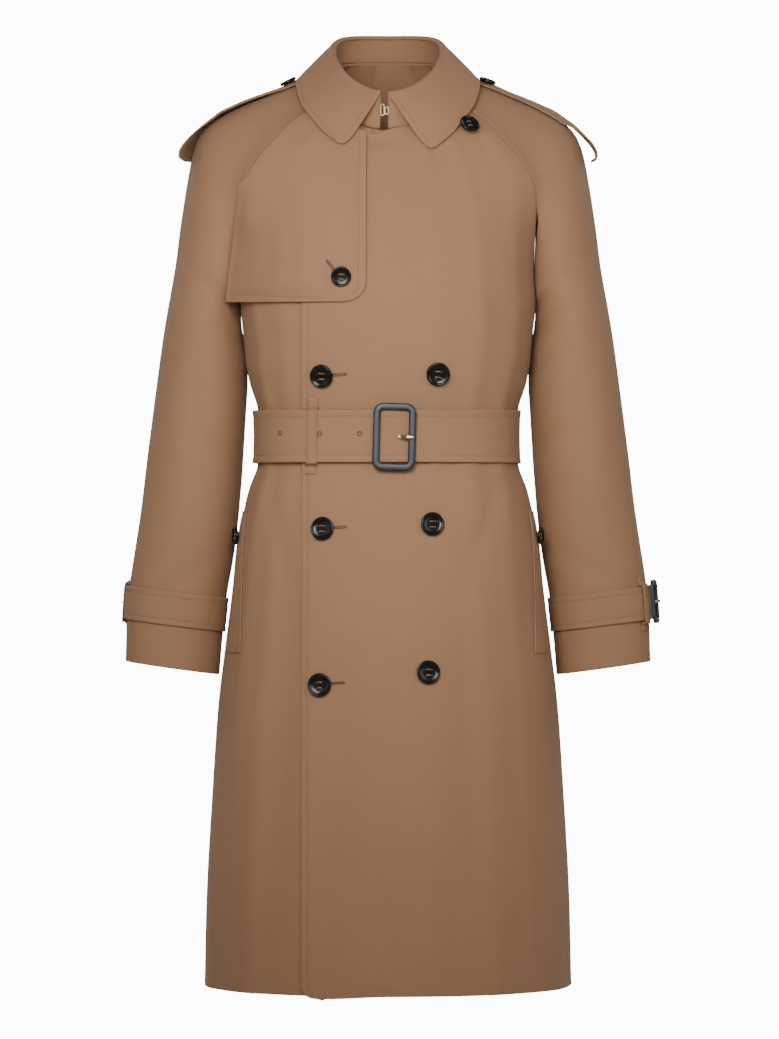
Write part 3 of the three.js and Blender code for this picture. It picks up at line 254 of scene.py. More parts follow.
def makeThread(name, spec):
    material, tree, shader = newMaterial(name)
    place = tree.nodes.new("ShaderNodeTexCoord").outputs["Object"]
    tone = placeGroup(tree, handledTone, Place=place, Breadth=90.0, Strength=1.2)
    tree.links.new(colourMix(tree, tone.outputs["Tone"], spec["dark"], spec["light"]), shader.inputs["Base Color"])
    twist = noiseNode(tree, place, 2500.0, 1.0)
    shader.inputs["Roughness"].default_value = spec["roughness"]
    tree.links.new(bumpNode(tree, twist, 0.4, 0.0002), shader.inputs["Normal"])
    return material


hornSpec = {"dark": (0.002, 0.0015, 0.0013), "light": (0.02, 0.011, 0.007), "roughness": 0.2}


def makeHorn():
    material, tree, shader = newMaterial("darkHorn")
    place = tree.nodes.new("ShaderNodeTexCoord").outputs["Object"]
    stretch = tree.nodes.new("ShaderNodeMapping")
    stretch.inputs["Scale"].default_value = (1.0, 1.0, 4.0)
    tree.links.new(place, stretch.inputs["Vector"])
    streak = noiseNode(tree, stretch.outputs["Vector"], 120.0, 4.0, 0.65)
    sharper = mathNode(tree, "POWER", streak, 2.6)
    tree.links.new(colourMix(tree, sharper, hornSpec["dark"], hornSpec["light"]), shader.inputs["Base Color"])
    rough = mathNode(tree, "MULTIPLY_ADD", streak, 0.12, hornSpec["roughness"] - 0.06)
    tree.links.new(rough, shader.inputs["Roughness"])
    shader.inputs["Specular IOR Level"].default_value = 0.3
    tree.links.new(bumpNode(tree, streak, 0.15, 0.0003), shader.inputs["Normal"])
    return material


leatherSpec = {"dark": (0.008, 0.009, 0.012), "light": (0.028, 0.031, 0.038), "roughness": 0.42}


def makeLeather():
    material, tree, shader = newMaterial("darkLeather")
    place = tree.nodes.new("ShaderNodeTexCoord").outputs["Object"]
    grain = tree.nodes.new("ShaderNodeTexVoronoi")
    grain.inputs["Scale"].default_value = 900.0
    tree.links.new(place, grain.inputs["Vector"])
    tone = placeGroup(tree, handledTone, Place=place, Breadth=60.0, Strength=1.3)
    tree.links.new(colourMix(tree, tone.outputs["Tone"], leatherSpec["dark"], leatherSpec["light"]), shader.inputs["Base Color"])
    rough = mathNode(tree, "MULTIPLY_ADD", tone.outputs["Tone"], 0.2, leatherSpec["roughness"] - 0.1)
    tree.links.new(rough, shader.inputs["Roughness"])
    tree.links.new(bumpNode(tree, grain.outputs["Distance"], 0.35, 0.0003), shader.inputs["Normal"])
    return material


goldSpec = {"dark": (0.42, 0.33, 0.2), "light": (0.78, 0.66, 0.45), "roughness": 0.3}


def makePaleGold():
    material, tree, shader = newMaterial("paleGoldMetal")
    place = tree.nodes.new("ShaderNodeTexCoord").outputs["Object"]
    tone = placeGroup(tree, handledTone, Place=place, Breadth=150.0, Strength=1.2)
    tree.links.new(colourMix(tree, tone.outputs["Tone"], goldSpec["dark"], goldSpec["light"]), shader.inputs["Base Color"])
    shader.inputs["Metallic"].default_value = 1.0
    scratches = noiseNode(tree, place, 1800.0, 2.0)
    rough = mathNode(tree, "MULTIPLY_ADD", scratches, 0.2, goldSpec["roughness"] - 0.08)
    tree.links.new(rough, shader.inputs["Roughness"])
    tree.links.new(bumpNode(tree, scratches, 0.1, 0.0001), shader.inputs["Normal"])
    return material


# Floor and surroundings look evenly white to the camera, and light the coat no more than plain paper does
paperGlow = 12.0
worldSpec = {"strength": 0.21}


def makeWorld():
    world = bpy.data.worlds.new("studio")
    world.use_nodes = True
    tree = world.node_tree
    tree.nodes["Background"].inputs["Color"].default_value = (1, 1, 1, 1)
    seen = tree.nodes.new("ShaderNodeLightPath")
    glow = mathNode(tree, "MULTIPLY_ADD", seen.outputs["Is Camera Ray"], paperGlow, worldSpec["strength"])
    tree.links.new(glow, tree.nodes["Background"].inputs["Strength"])
    bpy.context.scene.world = world


def makeStudioPaper():
    material, tree, shader = newMaterial("studioPaper")
    place = tree.nodes.new("ShaderNodeTexCoord").outputs["Object"]
    tone = placeGroup(tree, handledTone, Place=place, Breadth=2.0, Strength=0.3)
    tree.links.new(colourMix(tree, tone.outputs["Tone"], (0.93, 0.93, 0.93), (0.96, 0.96, 0.96)), shader.inputs["Base Color"])
    shader.inputs["Roughness"].default_value = 0.9
    shader.inputs["Emission Color"].default_value = (1, 1, 1, 1)
    seen = tree.nodes.new("ShaderNodeLightPath")
    glow = mathNode(tree, "MULTIPLY", seen.outputs["Is Camera Ray"], paperGlow)
    tree.links.new(glow, shader.inputs["Emission Strength"])
    return material


sewingThread = makeThread("sewingThread", threadSpec)
# The buttonhole twist's darkened colour paints the shade of the slit inside the cord
buttonholeThreadAndShade = makeThread("buttonholeThreadAndShade", twistAndSlitShadeSpec)
darkHorn = makeHorn()
darkLeather = makeLeather()
paleGoldMetal = makePaleGold()
studioPaper = makeStudioPaper()
makeWorld()
print("materials made")


# Meshes
def linkPiece(name, places, faces, material, uvs=None):
    mesh = bpy.data.meshes.new(name)
    mesh.from_pydata([p * 0.001 for p in places], [], faces)
    mesh.polygons.foreach_set("use_smooth", [True] * len(mesh.polygons))
    if uvs:
        layer = mesh.uv_layers.new(name="cloth")
        corner = [0] * len(mesh.loops)
        mesh.loops.foreach_get("vertex_index", corner)
        layer.data.foreach_set("uv", [value for k in corner for value in uvs[k]])
    mesh.materials.append(material)
    mesh.update()
    piece = bpy.data.objects.new(name, mesh)
    bpy.context.scene.collection.objects.link(piece)
    return piece


def standFor(piece, slotName, *nodes):
    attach(piece, "root")
    if nodes:
        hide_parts(*nodes)
    return piece


def gridNormals(points, outside):
    rows, columns = len(points), len(points[0])
    normals = []
    for i in range(rows):
        line = []
        for j in range(columns):
            down = points[min(i + 1, rows - 1)][j] - points[max(i - 1, 0)][j]
            along = points[i][min(j + 1, columns - 1)] - points[i][max(j - 1, 0)]
            line.append(along.cross(down).normalized() * outside)
        normals.append(line)
    return normals


def raised(points, outside, heightAt):
    normals = gridNormals(points, outside)
    return [[p + normals[i][j] * heightAt(i, j, p) for j, p in enumerate(line)] for i, line in enumerate(points)]


# How far each point of a grid lies from its four edges, measured on the cloth
def edgeDistances(points):
    rows, columns = len(points), len(points[0])
    across = [[0.0] * columns for _ in range(rows)]
    down = [[0.0] * columns for _ in range(rows)]
    for i in range(rows):
        for j in range(columns):
            if j:
                across[i][j] = across[i][j - 1] + (points[i][j] - points[i][j - 1]).length
            if i:
                down[i][j] = down[i - 1][j] + (points[i][j] - points[i - 1][j]).length
    return {
        "first": lambda i, j: across[i][j],
        "last": lambda i, j: across[i][-1] - across[i][j],
        "top": lambda i, j: down[i][j],
        "bottom": lambda i, j: down[-1][j] - down[i][j],
    }


# Sinks a grid's edges a little where they are seamed, and the cloth along each row of stitches
def seamed(points, outside, seams=(), stitched=(), depth=1.2, groove=0.5):
    distances = edgeDistances(points)

    def heightAt(i, j, p):
        height = sum(-depth * bell(distances[edge](i, j), 2.2) for edge in seams)
        for edge, inset in stitched:
            height -= groove * bell(distances[edge](i, j) - inset, 1.6)
        return height

    return raised(points, outside, heightAt)


# Closed cloth wall whose outer face is the grid, with a rounded rim
def clothWall(name, points, outside, thickness, material=gabardine):
    rows, columns = len(points), len(points[0])
    normals = gridNormals(points, outside)
    count = rows * columns
    places = [p for line in points for p in line]
    places += [points[i][j] - normals[i][j] * thickness for i in range(rows) for j in range(columns)]
    middle = columns // 2
    down = [0.0]
    for i in range(1, rows):
        down.append(down[-1] + (points[i][middle] - points[i - 1][middle]).length)
    uvs = []
    for i in range(rows):
        along = [0.0]
        for j in range(1, columns):
            along.append(along[-1] + (points[i][j] - points[i][j - 1]).length)
        uvs += [((a - along[middle]) * 0.001, -down[i] * 0.001) for a in along]
    uvs += uvs
    faces = []
    for i in range(rows - 1):
        for j in range(columns - 1):
            k = i * columns + j
            quad = (k, k + 1, k + columns + 1, k + columns)
            quad = quad if outside > 0 else quad[::-1]
            faces.append(quad)
            faces.append(tuple(corner + count for corner in quad[::-1]))
    ring = [(0, j) for j in range(columns)] + [(i, columns - 1) for i in range(1, rows)]
    ring += [(rows - 1, j) for j in range(columns - 2, -1, -1)] + [(i, 0) for i in range(rows - 2, 0, -1)]
    rim = []
    for i, j in ring:
        inner = points[clamp(i, 1, rows - 2)][clamp(j, 1, columns - 2)]
        outward = (points[i][j] - inner).normalized()
        halfway = points[i][j] - normals[i][j] * (thickness / 2)
        rim.append(len(places))
        places.append(halfway + outward * (thickness * 0.3))
        uvs.append(uvs[i * columns + j])
    for n in range(len(ring)):
        m = (n + 1) % len(ring)
        a, b = ring[n][0] * columns + ring[n][1], ring[m][0] * columns + ring[m][1]
        for quad in ((b, a, rim[n], rim[m]), (rim[m], rim[n], a + count, b + count)):
            faces.append(quad if outside > 0 else quad[::-1])
    return linkPiece(name, places, faces, material, uvs)


# Sweeps a section along a path: each stage has its middle, its way outward and its way up
def sweep(stages, section, closed):
    places = [middle + outward * u + up * v for middle, outward, up in stages for u, v in section]
    size, count = len(section), len(stages)
    faces = []
    for n in range(count if closed else count - 1):
        m = (n + 1) % count
        for k in range(size):
            l = (k + 1) % size
            faces.append((n * size + k, n * size + l, m * size + l, m * size + k))
    if not closed:
        faces.append(tuple(range(size - 1, -1, -1)))
        faces.append(tuple((count - 1) * size + k for k in range(size)))
    return places, faces


def roundSection(halfWidth, halfHeight, sides, power=2.0):
    section = []
    for k in range(sides):
        a = 2 * math.pi * k / sides
        c, s = math.cos(a), math.sin(a)
        reach = (abs(c) ** power + abs(s) ** power) ** (-1 / power)
        section.append((halfWidth * c * reach, halfHeight * s * reach))
    return section


# Gathers meshes that are made into one piece
class Heap:
    def __init__(self):
        self.places = []
        self.faces = []

    def take(self, places, faces):
        start = len(self.places)
        self.places += places
        self.faces += [tuple(k + start for k in face) for face in faces]

    def link(self, name, material):
        return linkPiece(name, self.places, self.faces, material)


# Finds where a line meets the cloth that is made so far
class Ground:
    def __init__(self, *pieces):
        places, faces = [], []
        for piece in pieces:
            start = len(places)
            places += [v.co * 1000 for v in piece.data.vertices]
            faces += [tuple(k + start for k in face.vertices) for face in piece.data.polygons]
        self.tree = BVHTree.FromPolygons(places, faces)

    def land(self, start, direction):
        point, normal, _, _ = self.tree.ray_cast(start, direction.normalized())
        if point is None:
            return None
        return point, normal if normal.dot(direction) < 0 else -normal

    def fromFront(self, x, z):
        return self.land(Vector((x, -2000, z)), Vector((0, 1, 0)))

    def fromAbove(self, x, y):
        return self.land(Vector((x, y, 2000)), Vector((0, 0, -1)))


# Path on a grid at a distance inside one of its edges, as places with their normals
def pathInside(points, outside, edge, inset, trim=(0, 0)):
    rows, columns = len(points), len(points[0])
    normals = gridNormals(points, outside)
    lines = {
        "first": [[(i, j) for j in range(columns)] for i in range(rows)],
        "last": [[(i, j) for j in range(columns - 1, -1, -1)] for i in range(rows)],
        "top": [[(i, j) for i in range(rows)] for j in range(columns)],
        "bottom": [[(i, j) for i in range(rows - 1, -1, -1)] for j in range(columns)],
    }[edge]
    path = []
    for line in lines:
        gone = 0.0
        for (i, j), (k, l) in zip(line, line[1:]):
            step = (points[k][l] - points[i][j]).length
            if gone + step >= inset:
                t = (inset - gone) / max(step, 1e-6)
                path.append((points[i][j].lerp(points[k][l], t), normals[i][j].lerp(normals[k][l], t).normalized()))
                break
            gone += step
    lengths = [0.0]
    for (a, _), (b, _) in zip(path, path[1:]):
        lengths.append(lengths[-1] + (b - a).length)
    return [spot for spot, at in zip(path, lengths) if trim[0] <= at <= lengths[-1] - trim[1]]


# Rows of machine stitches: short threads that dip into the cloth at both ends
stitchSpec = {"long": 3.0, "gap": 0.7, "halfWidth": 0.42, "height": 0.34}
stitches = {"stitchingBody": Heap(), "stitchingSleeves": Heap(), "stitchingTrim": Heap()}


def sew(heapName, path, spec=stitchSpec):
    heap = stitches[heapName]
    lengths = [0.0]
    for (a, _), (b, _) in zip(path, path[1:]):
        lengths.append(lengths[-1] + (b - a).length)
    if len(path) < 2:
        return

    place = 0

    def spotAt(distance):
        nonlocal place
        while place < len(path) - 2 and lengths[place + 1] < distance:
            place += 1
        while place > 0 and lengths[place] > distance:
            place -= 1
        t = (distance - lengths[place]) / max(lengths[place + 1] - lengths[place], 1e-6)
        return path[place][0].lerp(path[place + 1][0], t), path[place][1].lerp(path[place + 1][1], t).normalized()

    pitch = spec["long"] + spec["gap"]
    for n in range(int(lengths[-1] / pitch)):
        ends = [spotAt(n * pitch + share * spec["long"]) for share in (0, 0.25, 0.75, 1)]
        aside = (ends[3][0] - ends[0][0]).cross(ends[1][1]).normalized() * spec["halfWidth"]
        start, finish = ends[0][0] - ends[0][1] * 0.25, ends[3][0] - ends[3][1] * 0.25
        places = [start]
        for point, normal in ends[1:3]:
            middle = point + normal * (spec["height"] * 0.3)
            up = normal * (spec["height"] * 0.7)
            places += [middle + aside, middle + up, middle - aside, middle - up]
        places.append(finish)
        faces = []
        for k in range(4):
            l = (k + 1) % 4
            faces += [(0, 1 + l, 1 + k), (1 + k, 1 + l, 5 + l, 5 + k), (5 + k, 5 + l, 9)]
        heap.take(places, faces)


# Sizes of the coat that its solids share
cloth = 2.0
flapCloth = 1.8
collarCloth = 2.4
standCloth = 3.0
beltCloth = 2.6
layerGap = 1.2
overlapLift = layerGap + cloth
hemZ = -1068
underarmRow = 11
lastRow = 27
cuffRow = 21
frontEdgeX = -101
underEdgeX = -92
hemFall = {"drop": 4.5, "fromRow": 25, "reach": 110}
neck = {"halfWidth": 76, "centreY": 8, "halfDepth": 74, "midZ": -1, "rise": 46, "sideLift": 21}
frontRaglanAngle = 66
topSeamAngle = 95
backRaglanAngle = 125

# Front and back of the body: half width, outermost y, centre y and squareness at each height
frontForm = [
    {"z": -1068, "halfWidth": 221, "y": -168, "centreY": 25, "power": 2.05},
    {"z": -950, "halfWidth": 218, "y": -160, "centreY": 23, "power": 2.08},
    {"z": -830, "halfWidth": 211, "y": -152, "centreY": 20, "power": 2.1},
    {"z": -730, "halfWidth": 204, "y": -144, "centreY": 17, "power": 2.15},
    {"z": -660, "halfWidth": 195.5, "y": -137, "centreY": 15, "power": 2.2},
    {"z": -601, "halfWidth": 188, "y": -131, "centreY": 12, "power": 2.25},
    {"z": -541, "halfWidth": 181, "y": -124, "centreY": 9, "power": 2.3},
    {"z": -500, "halfWidth": 173.5, "y": -118, "centreY": 6, "power": 2.35},
    {"z": -470, "halfWidth": 166, "y": -113, "centreY": 4, "power": 2.35},
    {"z": -448, "halfWidth": 157.5, "y": -109, "centreY": 3, "power": 2.4},
    {"z": -425, "halfWidth": 155, "y": -107.5, "centreY": 2, "power": 2.4},
    {"z": -395, "halfWidth": 155, "y": -108, "centreY": 2, "power": 2.4},
    {"z": -372, "halfWidth": 157.5, "y": -111, "centreY": 2, "power": 2.4},
    {"z": -350, "halfWidth": 165, "y": -115, "centreY": 2, "power": 2.4},
    {"z": -325, "halfWidth": 170, "y": -118, "centreY": 2, "power": 2.45},
    {"z": -285, "halfWidth": 174, "y": -120, "centreY": 2, "power": 2.5},
    {"z": -250, "halfWidth": 177.3, "y": -120, "centreY": 3, "power": 2.5},
    {"z": -210, "halfWidth": 176.8, "y": -116, "centreY": 6, "power": 2.5},
    {"z": -170, "halfWidth": 184, "y": -108.5, "centreY": 11, "power": 2.5},
    {"z": -130, "halfWidth": 206, "y": -98, "centreY": 17, "power": 2.5},
    {"z": -104, "halfWidth": 226, "y": -90, "centreY": 21, "power": 2.5},
    {"z": -90, "halfWidth": 234, "y": -85, "centreY": 23, "power": 2.5},
    {"z": -70, "halfWidth": 234, "y": -77, "centreY": 25, "power": 2.5},
    {"z": -47, "halfWidth": 222, "y": -66, "centreY": 25, "power": 2.5},
    {"z": -35, "halfWidth": 211, "y": -56, "centreY": 25, "power": 2.5},
    {"z": -21, "halfWidth": 192, "y": -43.5, "centreY": 25, "power": 2.5},
    {"z": -11, "halfWidth": 172, "y": -33.5, "centreY": 25, "power": 2.5},
    {"z": -2.2, "halfWidth": 152, "y": -24, "centreY": 25, "power": 2.5},
]

backForm = [
    {"z": -1068, "halfWidth": 221, "y": 176, "centreY": 25, "power": 2.05},
    {"z": -950, "halfWidth": 218, "y": 168, "centreY": 23, "power": 2.08},
    {"z": -830, "halfWidth": 211, "y": 158, "centreY": 20, "power": 2.1},
    {"z": -730, "halfWidth": 204, "y": 147, "centreY": 17, "power": 2.15},
    {"z": -660, "halfWidth": 195.5, "y": 139, "centreY": 15, "power": 2.2},
    {"z": -601, "halfWidth": 188, "y": 131, "centreY": 12, "power": 2.25},
    {"z": -541, "halfWidth": 181, "y": 122, "centreY": 9, "power": 2.3},
    {"z": -500, "halfWidth": 173.5, "y": 115, "centreY": 6, "power": 2.35},
    {"z": -470, "halfWidth": 166, "y": 109, "centreY": 4, "power": 2.35},
    {"z": -448, "halfWidth": 157.5, "y": 105, "centreY": 3, "power": 2.4},
    {"z": -425, "halfWidth": 155, "y": 103, "centreY": 2, "power": 2.4},
    {"z": -395, "halfWidth": 155, "y": 103, "centreY": 2, "power": 2.4},
    {"z": -372, "halfWidth": 157.5, "y": 106, "centreY": 2, "power": 2.4},
    {"z": -350, "halfWidth": 165, "y": 111, "centreY": 2, "power": 2.4},
    {"z": -325, "halfWidth": 170, "y": 115, "centreY": 2, "power": 2.45},
    {"z": -285, "halfWidth": 174, "y": 120, "centreY": 2, "power": 2.5},
    {"z": -250, "halfWidth": 177.3, "y": 123, "centreY": 3, "power": 2.5},
    {"z": -210, "halfWidth": 182, "y": 124, "centreY": 6, "power": 2.5},
    {"z": -170, "halfWidth": 190, "y": 123.5, "centreY": 11, "power": 2.5},
    {"z": -130, "halfWidth": 199, "y": 121, "centreY": 17, "power": 2.5},
    {"z": -100, "halfWidth": 203, "y": 118, "centreY": 21.5, "power": 2.5},
    {"z": -76, "halfWidth": 196, "y": 115, "centreY": 24.5, "power": 2.5},
    {"z": -50, "halfWidth": 185, "y": 111, "centreY": 25, "power": 2.5},
    {"z": -26, "halfWidth": 162, "y": 106, "centreY": 25, "power": 2.5},
    {"z": -6, "halfWidth": 137.6, "y": 101, "centreY": 25, "power": 2.5},
    {"z": 12, "halfWidth": 110, "y": 95.5, "centreY": 25, "power": 2.5},
    {"z": 27, "halfWidth": 86.8, "y": 90, "centreY": 25, "power": 2.5},
    {"z": 39.5, "halfWidth": 65.5, "y": 84.5, "centreY": 25, "power": 2.5},
    {"z": 45, "halfWidth": 56, "y": 82, "centreY": 25, "power": 2.5},
]

# Armhole stations from the neckline to the underarm: both raglan seams and the level at mid front and back
raglan = [
    {"row": 0, "frontX": 69.4, "frontZ": -2.2, "midFrontZ": -47, "backX": 62.3, "backZ": 39.5, "midBackZ": 45},
    {"row": 1, "frontX": 84, "frontZ": -11, "midFrontZ": -57, "backX": 80, "backZ": 27, "midBackZ": 34},
    {"row": 2, "frontX": 100, "frontZ": -21, "midFrontZ": -68, "backX": 98, "backZ": 12, "midBackZ": 20},
    {"row": 3, "frontX": 119, "frontZ": -35, "midFrontZ": -82, "backX": 117, "backZ": -6, "midBackZ": 3},
    {"row": 4, "frontX": 133, "frontZ": -51, "midFrontZ": -97, "backX": 134, "backZ": -26, "midBackZ": -16},
    {"row": 5, "frontX": 150.5, "frontZ": -70, "midFrontZ": -113, "backX": 150, "backZ": -50, "midBackZ": -38},
    {"row": 6, "frontX": 163, "frontZ": -88, "midFrontZ": -130, "backX": 162, "backZ": -76, "midBackZ": -62},
    {"row": 7, "frontX": 173, "frontZ": -104, "midFrontZ": -146, "backX": 172, "backZ": -100, "midBackZ": -88},
    {"row": 8, "frontX": 178, "frontZ": -130, "midFrontZ": -166, "backX": 178, "backZ": -130, "midBackZ": -120},
    {"row": 9, "frontX": 177, "frontZ": -170, "midFrontZ": -192, "backX": 178, "backZ": -170, "midBackZ": -164},
    {"row": 10, "frontX": 175.5, "frontZ": -212, "midFrontZ": -220, "backX": 176.5, "backZ": -212, "midBackZ": -207},
    {"row": 11, "frontX": 177.3, "frontZ": -250, "midFrontZ": -250, "backX": 177.3, "backZ": -250, "midBackZ": -250},
]

lowerLevels = [
    {"row": 11, "z": -250},
    {"row": 12, "z": -285},
    {"row": 13, "z": -325},
    {"row": 14, "z": -350},
    {"row": 15, "z": -372},
    {"row": 16, "z": -395},
    {"row": 17, "z": -425},
    {"row": 18, "z": -448},
    {"row": 19, "z": -470},
    {"row": 20, "z": -500},
    {"row": 21, "z": -541},
    {"row": 22, "z": -601},
    {"row": 23, "z": -660},
    {"row": 24, "z": -730},
    {"row": 25, "z": -810},
    {"row": 26, "z": -940},
    {"row": 27, "z": hemZ},
]

# Sleeve: the top seam, the depth of its front and back halfway round, and how far it follows the shoulder
sleeveForm = [
    {"row": 0, "topX": 75.7, "topY": 14.4, "topZ": 23.8, "frontY": -4.2, "backY": 33, "cap": 1},
    {"row": 1, "topX": 100, "topY": 17, "topZ": 17.5, "frontY": -10, "backY": 40, "cap": 1},
    {"row": 2, "topX": 125, "topY": 19, "topZ": 9, "frontY": -15, "backY": 47, "cap": 1},
    {"row": 3, "topX": 150, "topY": 21, "topZ": -1, "frontY": -19, "backY": 53, "cap": 1},
    {"row": 4, "topX": 174, "topY": 23, "topZ": -10.5, "frontY": -23, "backY": 59, "cap": 0.95},
    {"row": 5, "topX": 197, "topY": 25, "topZ": -22, "frontY": -27, "backY": 65, "cap": 0.85},
    {"row": 6, "topX": 215, "topY": 26, "topZ": -34, "frontY": -31, "backY": 72, "cap": 0.7},
    {"row": 7, "topX": 227, "topY": 27, "topZ": -48, "frontY": -35, "backY": 79, "cap": 0.55},
    {"row": 8, "topX": 236, "topY": 28, "topZ": -72, "frontY": -40, "backY": 88, "cap": 0.35},
    {"row": 9, "topX": 243.5, "topY": 29, "topZ": -112, "frontY": -45, "backY": 97, "cap": 0.15},
    {"row": 10, "topX": 250.5, "topY": 30, "topZ": -158, "frontY": -46, "backY": 103, "cap": 0.05},
    {"row": 11, "topX": 256.5, "topY": 30, "topZ": -205, "frontY": -44, "backY": 105, "cap": 0},
    {"row": 12, "topX": 264.5, "topY": 31, "topZ": -250, "frontY": -42, "backY": 105, "cap": 0},
    {"row": 13, "topX": 271, "topY": 33, "topZ": -288, "frontY": -39, "backY": 104, "cap": 0},
    {"row": 14, "topX": 276.5, "topY": 34, "topZ": -327, "frontY": -36, "backY": 102, "cap": 0},
    {"row": 15, "topX": 284, "topY": 36, "topZ": -383, "frontY": -31, "backY": 99, "cap": 0},
    {"row": 16, "topX": 291, "topY": 38, "topZ": -437, "frontY": -26, "backY": 97, "cap": 0},
    {"row": 17, "topX": 298, "topY": 40, "topZ": -495, "frontY": -18, "backY": 95, "cap": 0},
    {"row": 18, "topX": 305, "topY": 42, "topZ": -541, "frontY": -11, "backY": 93, "cap": 0},
    {"row": 19, "topX": 311.5, "topY": 44, "topZ": -583, "frontY": -5, "backY": 92, "cap": 0},
    {"row": 20, "topX": 315.5, "topY": 45, "topZ": -628, "frontY": -1, "backY": 91, "cap": 0},
    {"row": 21, "topX": 317.5, "topY": 47, "topZ": -680, "frontY": 2, "backY": 91, "cap": 0},
]

underarmSeam = [
    {"row": 11, "x": 177.3, "y": 3, "z": -250},
    {"row": 12, "x": 175.6, "y": 17, "z": -278},
    {"row": 13, "x": 171.3, "y": 29, "z": -307},
    {"row": 14, "x": 169, "y": 34, "z": -342},
    {"row": 15, "x": 172, "y": 36, "z": -396},
    {"row": 16, "x": 175.3, "y": 38, "z": -450},
    {"row": 17, "x": 180.5, "y": 40, "z": -510},
    {"row": 18, "x": 186.5, "y": 42, "z": -556},
    {"row": 19, "x": 194, "y": 44, "z": -598},
    {"row": 20, "x": 199, "y": 45, "z": -643},
    {"row": 21, "x": 203.5, "y": 47, "z": -696},
]

# Soft vertical folds of the skirt: place round the body in degrees, half width, height and reach
skirtFolds = [
    {"angle": 34, "halfWidth": 9, "height": 3, "top": -480, "bottom": -1068},
    {"angle": 62, "halfWidth": 10, "height": 4.5, "top": -500, "bottom": -1068},
    {"angle": -50, "halfWidth": 9, "height": 4, "top": -470, "bottom": -1068},
    {"angle": -72, "halfWidth": 8, "height": 3, "top": -560, "bottom": -1068},
    {"angle": 128, "halfWidth": 12, "height": 6, "top": -470, "bottom": -1068},
    {"angle": 160, "halfWidth": 10, "height": 5, "top": -480, "bottom": -1068},
    {"angle": -145, "halfWidth": 12, "height": 6, "top": -470, "bottom": -1068},
    {"angle": -112, "halfWidth": 9, "height": 4, "top": -540, "bottom": -1068},
]


def neckPoint(angle):
    a = math.radians(angle)
    z = neck["midZ"] - neck["rise"] * math.cos(a) + neck["sideLift"] * math.sin(a) ** 2
    return Vector((neck["halfWidth"] * math.sin(a), neck["centreY"] - neck["halfDepth"] * math.cos(a), z))


def foldHeight(angle, z):
    height = 0
    for fold in skirtFolds:
        away = (angle - fold["angle"]) / fold["halfWidth"]
        if abs(away) < 3:
            height += fold["height"] * math.exp(-away * away) * smoothStep(fold["top"], fold["bottom"], z)
    return height


def bodyPoint(angle, z, side=1):
    front = abs(angle) <= 90
    form = frontForm if front else backForm
    halfWidth = read(form, "z", "halfWidth", z)
    centreY = read(form, "z", "centreY", z)
    depth = abs(read(form, "z", "y", z) - centreY)
    power = read(form, "z", "power", z)
    s = abs(math.sin(math.radians(angle)))
    c = abs(math.cos(math.radians(angle)))
    reach = (s ** power + c ** power) ** (-1 / power)
    lift = foldHeight(angle * side, z)
    x = math.copysign(1, angle) * s * (reach * halfWidth + lift)
    return Vector((x, centreY + (-1 if front else 1) * c * (reach * depth + lift), z))


def angleAt(form, x, z):
    power = read(form, "z", "power", z)
    share = min(abs(x) / read(form, "z", "halfWidth", z), 1)
    away = (1 - share ** power) ** (1 / power)
    return math.copysign(1, x) * math.degrees(math.atan2(share, away))


def neckPull(row):
    return clamp(1 - row / 4, 0, 1) ** 2


# Front panel of the wearer's left, from its free edge (across = 0) to its seam (across = 1)
def frontLine(row, edgeX, side=1):
    low = row >= underarmRow
    midZ = read(lowerLevels, "row", "z", row) if low else read(raglan, "row", "midFrontZ", row)
    seamZ = midZ if low else read(raglan, "row", "frontZ", row)
    seamX = 1e6 if low else read(raglan, "row", "frontX", row)
    seamAngle = angleAt(frontForm, seamX, seamZ)
    edgeAngle = angleAt(frontForm, edgeX, midZ)
    topAngle = angleAt(frontForm, raglan[0]["frontX"], raglan[0]["frontZ"])

    def pointAt(across):
        angle = mix(edgeAngle, seamAngle, across)
        share = clamp(angle / seamAngle, 0, 1)
        drop = 15 * neckPull(row) * (angle / edgeAngle) ** 2 if angle < 0 and not low else 0
        point = bodyPoint(angle, mix(midZ, seamZ, share * share) - drop, side)
        if row > hemFall["fromRow"] and side > 0:
            nearEdge = 1 - smoothStep(0, hemFall["reach"], point.x - edgeX)
            point.z -= hemFall["drop"] * nearEdge * smoothStep(hemFall["fromRow"], lastRow, row)
        if row < 4:
            top = bodyPoint(topAngle * share, mix(raglan[0]["midFrontZ"], raglan[0]["frontZ"], share * share))
            point += (neckPoint(frontRaglanAngle * share) - top) * neckPull(row)
        return point

    return pointAt


# Back panel, from its right seam (across = 0) to its left seam (across = 1)
def backLine(row):
    low = row >= underarmRow
    midZ = read(lowerLevels, "row", "z", row) if low else read(raglan, "row", "midBackZ", row)
    seamZ = midZ if low else read(raglan, "row", "backZ", row)
    seamX = 1e6 if low else read(raglan, "row", "backX", row)
    seamAngle = angleAt(backForm, seamX, seamZ)
    topAngle = angleAt(backForm, raglan[0]["backX"], raglan[0]["backZ"])

    def pointAt(across):
        signed = 2 * across - 1
        share, side = abs(signed), -1 if signed < 0 else 1
        point = bodyPoint(side * (180 - seamAngle * share), mix(midZ, seamZ, share * share))
        if row < 4:
            level = mix(raglan[0]["midBackZ"], raglan[0]["backZ"], share * share)
            top = bodyPoint(side * (180 - topAngle * share), level)
            point += (neckPoint(side * mix(180, backRaglanAngle, share)) - top) * neckPull(row)
        return point

    return pointAt


